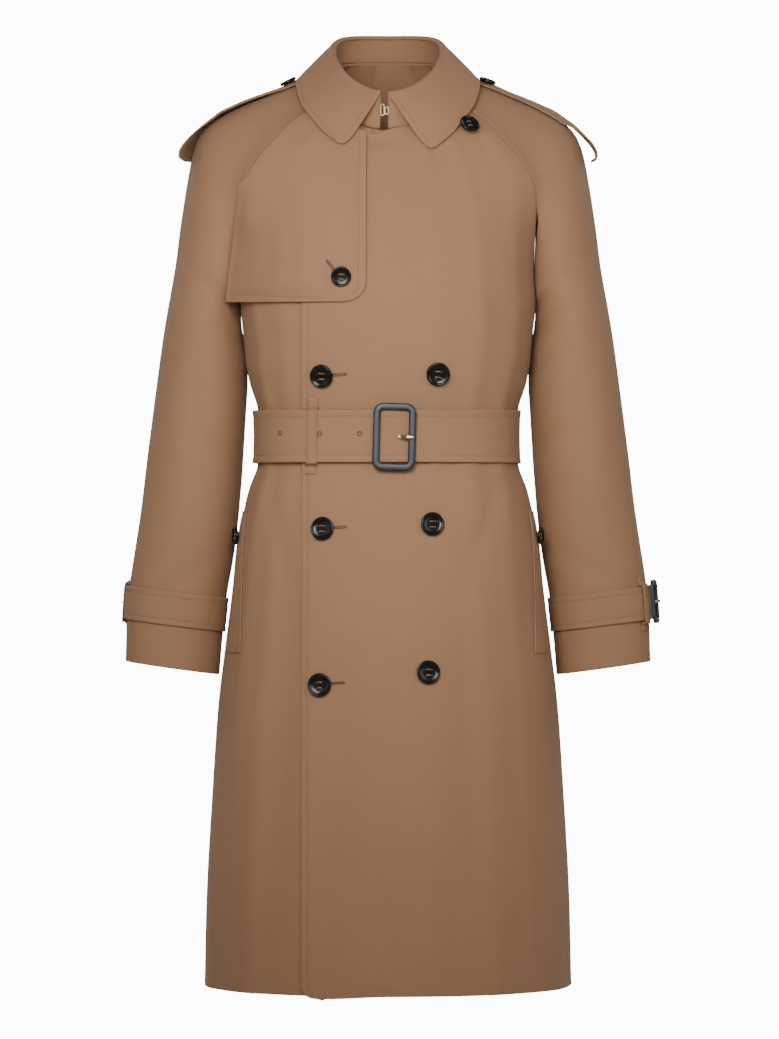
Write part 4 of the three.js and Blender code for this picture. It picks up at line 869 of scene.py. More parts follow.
def sleeveCurve(half, row):
    front = half == "front"
    start = Vector([read(underarmSeam, "row", key, row) for key in ("x", "y", "z")])
    if row <= underarmRow:
        start = (frontLine(row, frontEdgeX) if front else backLine(row))(1)
    end = Vector([read(sleeveForm, "row", key, row) for key in ("topX", "topY", "topZ")])
    middleY = read(sleeveForm, "row", "frontY" if front else "backY", row)
    cap = clamp(read(sleeveForm, "row", "cap", row), 0, 1)
    handleY = ((middleY - (start.y + end.y) / 8) * 4) / 3
    first, second = start.lerp(end, 0.4 * cap), end.lerp(start, 0.1 * cap)
    first.y = second.y = handleY

    def pointAt(t):
        u = 1 - t
        return start * u ** 3 + first * (3 * u * u * t) + second * (3 * u * t * t) + end * t ** 3

    return pointAt


sleeveTops = {half: sleeveCurve(half, 0) for half in ("front", "back")}


def sleeveLine(half, row):
    curve = sleeveCurve(half, row)
    ringStart = frontRaglanAngle if half == "front" else backRaglanAngle

    def pointAt(across):
        point = curve(across)
        if row < 4:
            ring = neckPoint(mix(ringStart, topSeamAngle, across))
            point += (ring - sleeveTops[half](across)) * neckPull(row)
        return point

    return pointAt


def mirrored(point, sign):
    return Vector((point.x * sign, point.y, point.z))


# Row places about `step` apart, with more of them near both ends
def finerRows(levels, step):
    rows = []
    for (rowA, levelA), (rowB, levelB) in zip(levels, levels[1:]):
        count = max(1, round(abs(levelB - levelA) / step))
        rows += [mix(rowA, rowB, k / count) for k in range(count)]
    rows.append(levels[-1][0])
    return [rows[0], mix(rows[0], rows[1], 0.3)] + rows[1:-1] + [mix(rows[-2], rows[-1], 0.4), mix(rows[-2], rows[-1], 0.75), rows[-1]]


def finerColumns(count, width):
    near = [0, 1.2, 2.6, 4.2, 5.8, 7.4, 9.5]
    shares = [n / width for n in near]
    middle = [mix(shares[-1], 1 - shares[-1], k / count) for k in range(1, count)]
    return shares + middle + [1 - s for s in reversed(shares)]


# Creases on a flat view: troughs are below zero, ridges above
def creaseHeight(creases, u, v):
    height = 0.0
    for crease in creases:
        (u0, v0), (u1, v1) = crease["start"], crease["end"]
        du, dv = u1 - u0, v1 - v0
        size = math.hypot(du, dv)
        t = ((u - u0) * du + (v - v0) * dv) / (size * size)
        if -0.25 < t < 1.25:
            away = ((u - u0) * dv - (v - v0) * du) / size - 4 * crease["bow"] * t * (1 - t)
            if abs(away) < 3 * crease["width"]:
                ends = smoothStep(-0.2, 0.35, t) * (1 - smoothStep(0.65, 1.2, t))
                height += crease["height"] * bell(away, crease["width"]) * ends
    return height


# Soft gathers above and below the belt, and long soft folds in the skirt, by angle round the body
beltFolds = [
    {"angle": -63, "halfWidth": 3.2, "height": 1.9, "level": -450, "reach": -560},
    {"angle": -50, "halfWidth": 2.6, "height": 1.4, "level": -450, "reach": -540},
    {"angle": 26, "halfWidth": 3.4, "height": 1.7, "level": -450, "reach": -575},
    {"angle": 44, "halfWidth": 3.0, "height": 2.2, "level": -450, "reach": -560},
    {"angle": 61, "halfWidth": 3.6, "height": 2.0, "level": -450, "reach": -600},
    {"angle": 112, "halfWidth": 3.5, "height": 2.4, "level": -450, "reach": -590},
    {"angle": 137, "halfWidth": 3.8, "height": 2.8, "level": -450, "reach": -620},
    {"angle": 158, "halfWidth": 3.2, "height": 2.2, "level": -450, "reach": -580},
    {"angle": -168, "halfWidth": 3.6, "height": 2.6, "level": -450, "reach": -600},
    {"angle": -141, "halfWidth": 3.4, "height": 2.2, "level": -450, "reach": -570},
    {"angle": -118, "halfWidth": 3.8, "height": 2.6, "level": -450, "reach": -610},
    {"angle": -66, "halfWidth": 3.4, "height": 1.6, "level": -372, "reach": -300},
    {"angle": -54, "halfWidth": 3.0, "height": 1.3, "level": -372, "reach": -320},
    {"angle": 40, "halfWidth": 3.2, "height": 1.2, "level": -372, "reach": -315},
    {"angle": 57, "halfWidth": 3.4, "height": 1.8, "level": -372, "reach": -290},
    {"angle": 118, "halfWidth": 3.8, "height": 2.2, "level": -372, "reach": -290},
    {"angle": 141, "halfWidth": 3.4, "height": 1.8, "level": -372, "reach": -310},
    {"angle": 165, "halfWidth": 3.6, "height": 2.0, "level": -372, "reach": -280},
    {"angle": -150, "halfWidth": 3.4, "height": 2.2, "level": -372, "reach": -300},
    {"angle": -125, "halfWidth": 3.8, "height": 1.9, "level": -372, "reach": -285},
]


def beltFoldHeight(angle, z):
    height = 0.0
    for fold in beltFolds:
        away = (angle - fold["angle"]) / fold["halfWidth"]
        if abs(away) < 2.5:
            height += fold["height"] * math.exp(-away * away) * smoothStep(fold["reach"], fold["level"], z)
    return height


frontCreases = [
    {"start": (168, -300), "end": (112, -262), "bow": 5, "width": 9, "height": -2.4},
    {"start": (166, -336), "end": (124, -322), "bow": -4, "width": 8, "height": -1.8},
    {"start": (160, -240), "end": (120, -160), "bow": 7, "width": 12, "height": -2.0},
    {"start": (150, -215), "end": (84, -120), "bow": 8, "width": 22, "height": 2.6},
    {"start": (-166, -316), "end": (-118, -288), "bow": -5, "width": 9, "height": -2.2},
    {"start": (-164, -350), "end": (-124, -338), "bow": 4, "width": 8, "height": -1.6},
    {"start": (30, -240), "end": (64, -370), "bow": 6, "width": 24, "height": 1.6},
    {"start": (20, -600), "end": (36, -1060), "bow": -8, "width": 26, "height": 2.2},
    {"start": (92, -500), "end": (122, -1040), "bow": 10, "width": 22, "height": -3.4},
    {"start": (-118, -480), "end": (-150, -1040), "bow": -8, "width": 20, "height": -3.0},
    {"start": (-48, -640), "end": (-66, -1060), "bow": 6, "width": 24, "height": -2.0},
    {"start": (-92, -560), "end": (-104, -900), "bow": -5, "width": 16, "height": 1.4},
    {"start": (-140, -462), "end": (-112, -600), "bow": 4, "width": 9, "height": -1.8},
    {"start": (136, -462), "end": (100, -575), "bow": 5, "width": 10, "height": -2.2},
    {"start": (64, -462), "end": (52, -560), "bow": -3, "width": 9, "height": -1.4},
    {"start": (60, -700), "end": (58, -1050), "bow": 5, "width": 15, "height": 1.6},
]
backCreases = [
    {"start": (-150, -300), "end": (-70, -250), "bow": 8, "width": 10, "height": -1.8},
    {"start": (152, -290), "end": (84, -240), "bow": -8, "width": 10, "height": -1.8},
    {"start": (-120, -210), "end": (-60, -90), "bow": 10, "width": 22, "height": 2.4},
    {"start": (122, -200), "end": (64, -80), "bow": -10, "width": 22, "height": 2.2},
    {"start": (-60, -520), "end": (-84, -1040), "bow": 10, "width": 24, "height": -2.6},
    {"start": (40, -500), "end": (66, -1030), "bow": -10, "width": 24, "height": -2.4},
    {"start": (4, -640), "end": (-4, -1050), "bow": 8, "width": 28, "height": 2.0},
]


def bodyHeight(creases, point):
    angle = math.degrees(math.atan2(point.x, -(point.y - 10)))
    return beltFoldHeight(angle, point.z) + creaseHeight(creases, point.x, point.z)


# Body: two fronts and the back
bodySpec = {"rowStep": 6.5, "frontColumns": 46, "backColumns": 76, "hemCorner": 16, "edgeStitch": 7.0}
frontLevels = [(s["row"], s["midFrontZ"]) for s in raglan] + [(s["row"], s["z"]) for s in lowerLevels[1:]]
bodyRows = finerRows(frontLevels, bodySpec["rowStep"])


def frontGrid(edgeX, sign):
    columns = finerColumns(bodySpec["frontColumns"], 320)
    grid = []
    for row in bodyRows:
        pointAt = frontLine(row, edgeX, sign)
        aboveHem = max(read(lowerLevels, "row", "z", row) - hemZ, 0) if row > underarmRow else 1000
        into = max(bodySpec["hemCorner"] - aboveHem, 0)
        inset = (bodySpec["hemCorner"] - math.sqrt(bodySpec["hemCorner"] ** 2 - into ** 2)) / 330
        line = [mirrored(pointAt(mix(across, 1, inset * (1 - across))), sign) for across in columns]
        grid.append(line)
    return grid


def leftLift(i, j, point):
    seamX = leftBase[i][-1].x
    lowFrom = min(-underEdgeX + 2, seamX - 12)
    return overlapLift * (1 - smoothStep(lowFrom, seamX - 1, point.x))


def fadeAtSeams(points, edges, reach=14):
    distances = edgeDistances(points)
    return lambda i, j: min(smoothStep(0, reach, distances[edge](i, j)) for edge in edges)


# The outer front's top edge dips in a small wave where the neck closes
neckWave = [
    {"x": -112, "drop": 0}, {"x": -40, "drop": 1}, {"x": -28, "drop": 3}, {"x": -13, "drop": 7.5}, {"x": -3, "drop": 3.5},
    {"x": 14, "drop": 0}, {"x": 60, "drop": 0}, {"x": 260, "drop": 0},
]


def dipped(point):
    near = smoothStep(-78, -44, point.z)
    return point - Vector((0, 0, near * read(neckWave, "x", "drop", clamp(point.x, -110, 250))))


leftBase = [[dipped(point) for point in line] for line in frontGrid(frontEdgeX, 1)]
leftFade = fadeAtSeams(leftBase, ("last", "top"))
leftTop = edgeDistances(leftBase)["top"]


def leftHeight(i, j, point):
    rolled = smoothStep(-62, -34, point.x) * (1 - smoothStep(4, 34, point.x)) * (1 if point.z > -120 else 0)
    roll = rolled * (3.2 * bell(leftTop(i, j) - 1, 5) - 0.8 * bell(leftTop(i, j) - 13, 5))
    return leftLift(i, j, point) + bodyHeight(frontCreases, point) * leftFade(i, j) + roll


leftPoints = raised(leftBase, -1, leftHeight)
leftPoints = seamed(leftPoints, -1, ("last",), (("first", bodySpec["edgeStitch"]),))
rightBase = frontGrid(underEdgeX, -1)
rightFade = fadeAtSeams(rightBase, ("last", "top"))
rightPoints = raised(rightBase, 1, lambda i, j, p: bodyHeight(frontCreases, p) * rightFade(i, j))
rightPoints = seamed(rightPoints, 1, ("last",))
backLevels = [(s["row"], s["midBackZ"]) for s in raglan] + [(s["row"], s["z"]) for s in lowerLevels[1:]]
backRows = finerRows(backLevels, bodySpec["rowStep"])
backColumns = finerColumns(bodySpec["backColumns"], 560)
backBase = [[pointAt(across) for across in backColumns] for pointAt in map(backLine, backRows)]
backFade = fadeAtSeams(backBase, ("first", "last", "top"))
backPoints = raised(backBase, 1, lambda i, j, p: bodyHeight(backCreases, p) * backFade(i, j))
backPoints = seamed(backPoints, 1, ("first", "last"))

frontLeft = standFor(clothWall("frontLeft", leftPoints, -1, cloth), "gabardine", "front_left")
frontRight = standFor(clothWall("frontRight", rightPoints, 1, cloth), "gabardine", "front_right")
backPanel = standFor(clothWall("backPanel", backPoints, 1, cloth), "gabardine", "back")
sew("stitchingBody", pathInside(leftPoints, -1, "first", bodySpec["edgeStitch"], (6, 6)))
print("body made")

# Sleeves: two pieces each, joined along the top and under the arm
sleeveSpec = {"rowStep": 7, "columns": 24, "seamStitch": 3.2}
sleeveLevels = [(s["row"], s["topZ"] * 0.5 + s["midFrontZ"] * 0.5) for s in (dict(a, **b) for a, b in zip(raglan, sleeveForm))]
sleeveLevels += [(s["row"], s["z"]) for s in underarmSeam[1:]]
sleeveRows = finerRows(sleeveLevels, sleeveSpec["rowStep"])
# Measured round the sleeve from the underarm seam in shares of 170 mm, and along it by height
sleeveCreases = {
    "front": [
        {"start": (6, -262), "end": (96, -214), "bow": -8, "width": 9, "height": -2.6},
        {"start": (2, -296), "end": (84, -262), "bow": -6, "width": 8, "height": -2.2},
        {"start": (0, -330), "end": (70, -312), "bow": 5, "width": 8, "height": -1.8},
        {"start": (60, -190), "end": (120, -330), "bow": 8, "width": 16, "height": 2.0},
        {"start": (8, -430), "end": (96, -404), "bow": -6, "width": 10, "height": -2.0},
        {"start": (4, -478), "end": (78, -452), "bow": 5, "width": 9, "height": -1.6},
        {"start": (110, -380), "end": (96, -560), "bow": 6, "width": 15, "height": 1.7},
        {"start": (40, -540), "end": (120, -590), "bow": 5, "width": 10, "height": -1.3},
    ],
    "back": [
        {"start": (6, -270), "end": (104, -226), "bow": -10, "width": 10, "height": -2.6},
        {"start": (4, -318), "end": (88, -296), "bow": 8, "width": 9, "height": -2.2},
        {"start": (110, -180), "end": (90, -340), "bow": 10, "width": 18, "height": 2.4},
        {"start": (14, -420), "end": (120, -396), "bow": 7, "width": 10, "height": -2.2},
        {"start": (10, -470), "end": (110, -448), "bow": -6, "width": 10, "height": -2.0},
        {"start": (60, -500), "end": (80, -590), "bow": 5, "width": 14, "height": 1.6},
    ],
}


def sleeveGrid(half, sign):
    columns = finerColumns(sleeveSpec["columns"], 180)
    lines = [sleeveLine(half, row) for row in sleeveRows]
    return [[mirrored(line(across), sign) for across in columns] for line in lines], columns


sleevePieces = {}
sleeveGrids = {}
for side, sign in (("Left", 1), ("Right", -1)):
    for half, outside in (("front", -sign), ("back", sign)):
        base, columns = sleeveGrid(half, sign)
        fade = fadeAtSeams(base, ("first", "last", "top"))
        shift = 12 if side == "Right" else 0

        def heightAt(i, j, p):
            return creaseHeight(sleeveCreases[half], columns[j] * 170, p.z + shift) * fade(i, j)

        points = seamed(raised(base, outside, heightAt), outside, ("first", "last"))
        piece = clothWall(f"sleeve{side}{half.capitalize()}", points, outside, cloth)
        standFor(piece, "gabardine", f"sleeve_{side.lower()}_{half}")
        sleevePieces[side, half] = piece
        sleeveGrids[side, half] = (points, outside)
        sew("stitchingSleeves", pathInside(points, outside, "last", sleeveSpec["seamStitch"], (8, 4)) if half == "back" else [])
        raglanPath = pathInside(points, outside, "first", sleeveSpec["seamStitch"], (6, 0))
        sew("stitchingSleeves", [spot for spot in raglanPath if spot[0].z > -236])
print("sleeves made")

# Collar: the stand rises from the neckline to the fold, the leaf falls from the fold to its edge
foldRing = {"halfWidth": 65, "centreY": 8, "halfDepth": 68, "midZ": 34, "rise": 39, "sideLift": 18, "radius": 4.5}
collarSpec = {
    "openRight": -7.5, "openLeft": 0.5, "columns": 150, "standRows": 14, "foldRows": 12, "fallRows": 30,
    "standClear": 0.6, "tipX": 2.5, "tipZ": 6, "tipBy": 60, "overFlap": 5, "corner": 0.012, "cornerFrom": 0.84,
    "stitch": 6.0,
}


def foldPoint(angle):
    a = math.radians(angle)
    z = foldRing["midZ"] - foldRing["rise"] * math.cos(a) + foldRing["sideLift"] * math.sin(a) ** 2
    return Vector((foldRing["halfWidth"] * math.sin(a), foldRing["centreY"] - foldRing["halfDepth"] * math.cos(a), z))


def collarAngle(across):
    return mix(collarSpec["openRight"], collarSpec["openLeft"] - 360, across)


def frontEdgeRise(angle):
    return 2.2 * smoothStep(-14, -4, angle) * (1 - smoothStep(58, 74, angle))


def standPoint(down, across):
    angle = collarAngle(across)
    low = neckPoint(angle)
    low.z += collarSpec["standClear"] + frontEdgeRise(angle + 360 if angle < -180 else angle)
    return low.lerp(foldPoint(angle), down)


leafEdge = [
    {"angle": 0, "x": 48.5, "y": -86, "z": -74},
    {"angle": 18, "x": 75.5, "y": -76, "z": -51},
    {"angle": 38, "x": 90.5, "y": -62, "z": -32},
    {"angle": 60, "x": 103.5, "y": -42, "z": -13},
    {"angle": 80, "x": 110.5, "y": -14, "z": 12.5},
    {"angle": 98, "x": 107.5, "y": 20, "z": 22.5},
    {"angle": 125, "x": 94, "y": 63, "z": 26.5},
    {"angle": 152, "x": 56, "y": 97, "z": 24},
    {"angle": 180, "x": 0, "y": 106, "z": 22},
]


def leafPoint(row, across):
    angle = collarAngle(across)
    signed = angle + 360 if angle < -180 else angle
    side, turn = (-1 if signed < 0 else 1), abs(signed)
    opening = -collarSpec["openRight"] if side < 0 else collarSpec["openLeft"]
    edgeTurn = max(turn - opening * (1 - smoothStep(opening, collarSpec["tipBy"], turn)), 0)
    edge = Vector([read(leafEdge, "angle", key, edgeTurn) for key in ("x", "y", "z")])
    if side < 0:
        nearTip = 1 - smoothStep(0, 40, turn)
        edge.x += collarSpec["tipX"] * nearTip
        edge.z += collarSpec["tipZ"] * nearTip
        edge.y -= collarSpec["overFlap"] * (1 - smoothStep(55, 75, turn))
    edge.x *= side
    top = foldPoint(signed)
    out = (top - Vector((0, foldRing["centreY"], top.z))).normalized()
    start = top + out * (0.3 - standCloth)
    start.z += collarSpec["standClear"]
    radius = foldRing["radius"]
    middle = start + out * radius
    if row <= 3:
        a = mix(math.pi, 0.25, row / 3)
        point = middle + out * (radius * math.cos(a))
        point.z = start.z + radius * math.sin(a)
        return point
    t = (row - 3) / 4
    shoulder = middle + out * (radius * math.cos(0.25))
    shoulder.z = start.z + radius * math.sin(0.25)
    handle = shoulder.lerp(edge, 0.4) + out * 3
    return shoulder * (1 - t) ** 2 + handle * (2 * t * (1 - t)) + edge * t * t


standPoints = []
for i in range(collarSpec["standRows"] + 1):
    down = i / collarSpec["standRows"]
    line = [standPoint(down, j / collarSpec["columns"]) for j in range(collarSpec["columns"] + 1)]
    standPoints.append(line)
standPoints = raised(standPoints, -1, lambda i, j, p: standCloth)
collarStand = standFor(clothWall("collarStand", standPoints, -1, standCloth), "gabardine", "collar_stand")

leafStages = [3 * i / collarSpec["foldRows"] for i in range(collarSpec["foldRows"])]
leafStages += [3 + 4 * i / collarSpec["fallRows"] for i in range(collarSpec["fallRows"] + 1)]
leafColumns = finerColumns(collarSpec["columns"], 560)
leafPoints = []
for stage in leafStages:
    intoCorner = max(stage / 7 - collarSpec["cornerFrom"], 0) / (1 - collarSpec["cornerFrom"])
    corner = (1 - math.sqrt(1 - intoCorner ** 2)) * collarSpec["corner"]
    leafPoints.append([leafPoint(stage, mix(corner, 1 - corner, across)) for across in leafColumns])
leafPoints = seamed(leafPoints, 1, (), (("bottom", 6.0), ("first", 6.0), ("last", 6.0)))
collarLeaf = standFor(clothWall("collarLeaf", leafPoints, 1, collarCloth), "gabardine", "collar_leaf")
for edge in ("bottom", "first", "last"):
    path = pathInside(leafPoints, 1, edge, collarSpec["stitch"], (6, 6))
    sew("stitchingTrim", [spot for spot in path if edge == "bottom" or spot[0].z < 2])
print("collar made")

# Gun flap on the right chest, over the front and the sleeve's raglan seam
flapSpec = {
    "rows": 12, "columns": 11, "finer": 5, "innerX": -26, "topZ": -49, "bottomZ": -252, "corner": 24, "clear": 1.2,
    "spread": 8, "seamShare": 0.42, "outerTop": (-177, -110), "outerBottom": (-194, -250), "stitch": 9.0,
}


def flapPlace(down, across):
    if down < flapSpec["seamShare"]:
        row = down / flapSpec["seamShare"] * 7
        outer = (1 - read(raglan, "row", "frontX", row), read(raglan, "row", "frontZ", row) - 5)
    else:
        t = (down - flapSpec["seamShare"]) / (1 - flapSpec["seamShare"])
        outer = [mix(a, b, t) for a, b in zip(flapSpec["outerTop"], flapSpec["outerBottom"])]
    z = mix(flapSpec["topZ"], flapSpec["bottomZ"], down)
    corner = flapSpec["corner"]
    into = clamp(corner - (z - flapSpec["bottomZ"]), 0, corner)
    inner = flapSpec["innerX"] - (corner - math.sqrt(corner ** 2 - into ** 2))
    return mix(inner, outer[0], across), mix(z, outer[1], across ** 1.5)


chestGround = Ground(frontLeft, frontRight, sleevePieces["Right", "front"])


def flapDepths():
    lines = []
    for i in range(flapSpec["rows"] + 1):
        line = []
        for j in range(flapSpec["columns"] + 1):
            x, z = flapPlace(i / flapSpec["rows"], j / flapSpec["columns"])
            depth = 1e6
            for dx in (-1, 0, 1):
                for dz in (-1, 0, 1):
                    seen = chestGround.fromFront(x + dx * flapSpec["spread"], z + dz * flapSpec["spread"])
                    if seen:
                        depth = min(depth, seen[0].y)
            line.append(depth)
        for _ in range(40):
            for j in range(1, flapSpec["columns"]):
                line[j] = min(line[j], (line[j - 1] + line[j + 1]) / 2)
        lines.append(line)
    return lines


def catmull(values, at):
    k = int(clamp(math.floor(at), 0, len(values) - 2))
    t = at - k
    a, b, c, d = values[max(k - 1, 0)], values[k], values[k + 1], values[min(k + 2, len(values) - 1)]
    return b + 0.5 * t * (c - a + t * (2 * a - 5 * b + 4 * c - d + t * (3 * (b - c) + d - a)))


flapTable = flapDepths()
flapPoints = []
for down in finerColumns(flapSpec["rows"] * flapSpec["finer"], 215):
    line = []
    for across in finerColumns(flapSpec["columns"] * flapSpec["finer"], 160):
        x, z = flapPlace(down, across)
        column = [catmull(depths, across * flapSpec["columns"]) for depths in flapTable]
        line.append(Vector((x, catmull(column, down * flapSpec["rows"]) - flapSpec["clear"] - flapCloth, z)))
    flapPoints.append(line)
flapPoints = seamed(flapPoints, 1, (), (("first", 9.0), ("bottom", 9.0)))
gunFlap = standFor(clothWall("gunFlap", flapPoints, 1, flapCloth), "gabardine", "gun_flap")
sew("stitchingTrim", pathInside(flapPoints, 1, "first", flapSpec["stitch"], (2, 12)))
sew("stitchingTrim", pathInside(flapPoints, 1, "bottom", flapSpec["stitch"], (12, 2)))
sew("stitchingTrim", pathInside(flapPoints, 1, "last", 3.0, (2, 120)))
print("gun flap made")

# Belt: one strap that starts behind the buckle, goes round the back and comes to lie over itself
beltSpec = {
    "start": 2, "travel": 487.5, "columns": 260, "rows": 12, "topZ": -379, "bottomZ": -442,
    "clear": 1.0, "layerClear": 0.6, "stitch": 8.0,
}


def frontLift(angle):
    return overlapLift * (1 - smoothStep(40, 72, abs(angle)))


def beltLift(travel):
    angle = beltSpec["start"] - travel
    wrapped = angle + 360 if angle < -180 else angle
    layer = (beltCloth + beltSpec["layerClear"]) * smoothStep(285, 345, travel)
    return frontLift(wrapped) + beltSpec["clear"] + beltCloth + layer


beltTravels = [share * beltSpec["travel"] for share in finerColumns(beltSpec["columns"], 1500)]
beltPoints = []
for down in finerColumns(beltSpec["rows"], 63):
    line = []
    for travel in beltTravels:
        angle = beltSpec["start"] - travel
        point = bodyPoint(angle + 360 if angle < -180 else angle, mix(beltSpec["topZ"], beltSpec["bottomZ"], down))
        line.append(point)
    beltPoints.append(line)
beltPoints = raised(beltPoints, 1, lambda i, j, p: beltLift(beltTravels[j]))
beltPoints = seamed(beltPoints, 1, (), (("top", 8.0), ("bottom", 8.0)))
beltStrap = standFor(clothWall("beltStrap", beltPoints, 1, beltCloth), "gabardine", "belt")
for edge in ("top", "bottom"):
    sew("stitchingTrim", pathInside(beltPoints, 1, edge, beltSpec["stitch"], (6, 6)))
print("belt made")

frontGround = Ground(frontLeft, frontRight)
loopSpec = {"x": -89, "drift": 3, "width": 12, "thickness": 1.6}
loopStages = [
    {"z": -366, "out": 0.5},
    {"z": -374, "out": 0.7},
    {"z": -376.5, "out": 3.6},
    {"z": -378, "out": 7.2},
    {"z": -380, "out": 7.8},
    {"z": -410, "out": 7.9},
    {"z": -441, "out": 7.8},
    {"z": -443, "out": 7.2},
    {"z": -444.5, "out": 3.6},
    {"z": -447, "out": 0.7},
    {"z": -455, "out": 0.5},
]
loopPoints = []
for n in range(41):
    at = n / 40 * (len(loopStages) - 1)
    z = catmull([stage["z"] for stage in loopStages], at)
    out = catmull([stage["out"] for stage in loopStages], at)
    line = []
    for k in range(9):
        x = loopSpec["x"] - loopSpec["drift"] * n / 40 + mix(-0.5, 0.5, k / 8) * loopSpec["width"]
        seen = frontGround.fromFront(x, z)[0]
        line.append(Vector((x, seen.y - out - loopSpec["thickness"], z)))
    loopPoints.append(line)
beltLoop = standFor(clothWall("beltLoop", loopPoints, -1, loopSpec["thickness"]), "gabardine", "belt_loop")
for edge in ("first", "last"):
    sew("stitchingTrim", pathInside(loopPoints, -1, edge, 1.8, (2, 2)), dict(stitchSpec, long=2.2, gap=0.6))

# Epaulettes: straps that lie along the shoulder and stand off it in a bow at the sleeve's head
strapSpec = {"halfWidth": 22, "thickness": 2, "clear": 1.5, "rows": 70, "columns": 14, "centreY": 22, "stitch": 6.0}
strapPath = [
    {"place": 0, "x": 109},
    {"place": 0.16, "x": 122},
    {"place": 0.3, "x": 145},
    {"place": 0.42, "x": 168},
    {"place": 0.53, "x": 190},
    {"place": 0.62, "x": 207},
]
strapBow = [
    {"place": 0.62, "x": 207, "z": -26},
    {"place": 0.72, "x": 226, "z": -36},
    {"place": 0.82, "x": 242, "z": -52.5},
    {"place": 0.91, "x": 251, "z": -66},
    {"place": 0.96, "x": 251.5, "z": -75},
    {"place": 1, "x": 246, "z": -79},
]
# How far each edge of a strap stands off the line that the tables above give
strapLiftsLeft = [
    {"place": 0, "front": 0, "back": 3},
    {"place": 0.1, "front": 0, "back": 6.5},
    {"place": 0.3, "front": 0, "back": 4.6},
    {"place": 0.5, "front": 0, "back": 5.4},
    {"place": 0.62, "front": 0.4, "back": 7.4},
    {"place": 0.72, "front": 0.4, "back": 1.5},
    {"place": 0.82, "front": 0, "back": 0},
    {"place": 1, "front": 0, "back": 0},
]
strapLiftsRight = [
    {"place": 0, "front": 0, "back": 3},
    {"place": 0.1, "front": 0, "back": 5},
    {"place": 0.19, "front": -0.3, "back": 1.6},
    {"place": 0.3, "front": 2.0, "back": 0},
    {"place": 0.5, "front": 5.2, "back": 0},
    {"place": 0.62, "front": 7, "back": 0},
    {"place": 0.72, "front": 1.5, "back": -5},
    {"place": 0.82, "front": 0, "back": -12},
    {"place": 0.91, "front": 0, "back": -14.5},
    {"place": 0.96, "front": 0, "back": -13.5},
    {"place": 1, "front": 0, "back": -9},
]
bowStart = strapPath[-1]["place"]
for side, sign, lifts in (("Left", 1, strapLiftsLeft), ("Right", -1, strapLiftsRight)):
    shoulder = Ground(sleevePieces[side, "front"], sleevePieces[side, "back"])

    def onShoulder(x, y):
        seen = [shoulder.fromAbove(sign * x, y + aside) for aside in (-1.5, 1.5)]
        return max(hit[0].z for hit in seen if hit) + strapSpec["clear"] + strapSpec["thickness"]

    points = []
    edgeX = strapPath[-1]["x"]
    for v in finerColumns(strapSpec["rows"], 200):
        line = []
        narrow = mix(0.82, 1, smoothStep(0, 0.5, v))
        tip = strapSpec["halfWidth"] * 0.45
        into = clamp((v - 0.965) / 0.035, 0, 1)
        narrow -= (1 - math.sqrt(1 - into * into)) * 0.28
        for u in finerColumns(strapSpec["columns"], 44):
            offset = mix(-strapSpec["halfWidth"], strapSpec["halfWidth"], u) * narrow
            y = strapSpec["centreY"] + offset
            lift = mix(read(lifts, "place", "front", v), read(lifts, "place", "back", v), u)
            if v <= bowStart:
                x = read(strapPath, "place", "x", v)
                line.append(Vector((sign * x, y, onShoulder(x, y) + lift)))
                continue
            x, z = read(strapBow, "place", "x", v), read(strapBow, "place", "z", v)
            free = smoothStep(bowStart, bowStart + 0.25, v)
            drop = (onShoulder(edgeX, y) - onShoulder(edgeX, strapSpec["centreY"])) * (1 - free)
            line.append(Vector((sign * (x + lift * free), y, z + drop + lift * (1 - free))))
        points.append(line)
    points = seamed(points, -sign, (), (("first", 6.0), ("last", 6.0)))
    piece = clothWall(f"epaulette{side}", points, -sign, strapSpec["thickness"])
    standFor(piece, "gabardine", f"epaulette_{side.lower()}")
    for edge in ("first", "last"):
        sew("stitchingTrim", pathInside(points, -sign, edge, strapSpec["stitch"], (4, 6)))
    sew("stitchingTrim", pathInside(points, -sign, "bottom", strapSpec["stitch"], (6, 6)))
print("epaulettes made")


# Buckles: an open frame covered in leather
def roundedPath(width, height, corner, steps=10):
    path = []
    for n, (cx, cy) in enumerate(((1, -1), (1, 1), (-1, 1), (-1, -1))):
        for k in range(steps + 1):
            a = math.pi / 2 * (n - 1 + k / steps)
            outward = Vector((math.cos(a), math.sin(a), 0))
            middle = Vector((cx * (width / 2 - corner), cy * (height / 2 - corner), 0))
            path.append((middle + outward * corner, outward, Vector((0, 0, 1))))
    return path


def turnedTo(point, normal, up=Vector((0, 0, 1))):
    sideways = up.cross(normal).normalized()
    upright = normal.cross(sideways)
    turn = Matrix((sideways, upright, normal)).transposed().to_4x4()
    return Matrix.Translation(point) @ turn


def placed(places, matrix):
    return [matrix @ p for p in places]


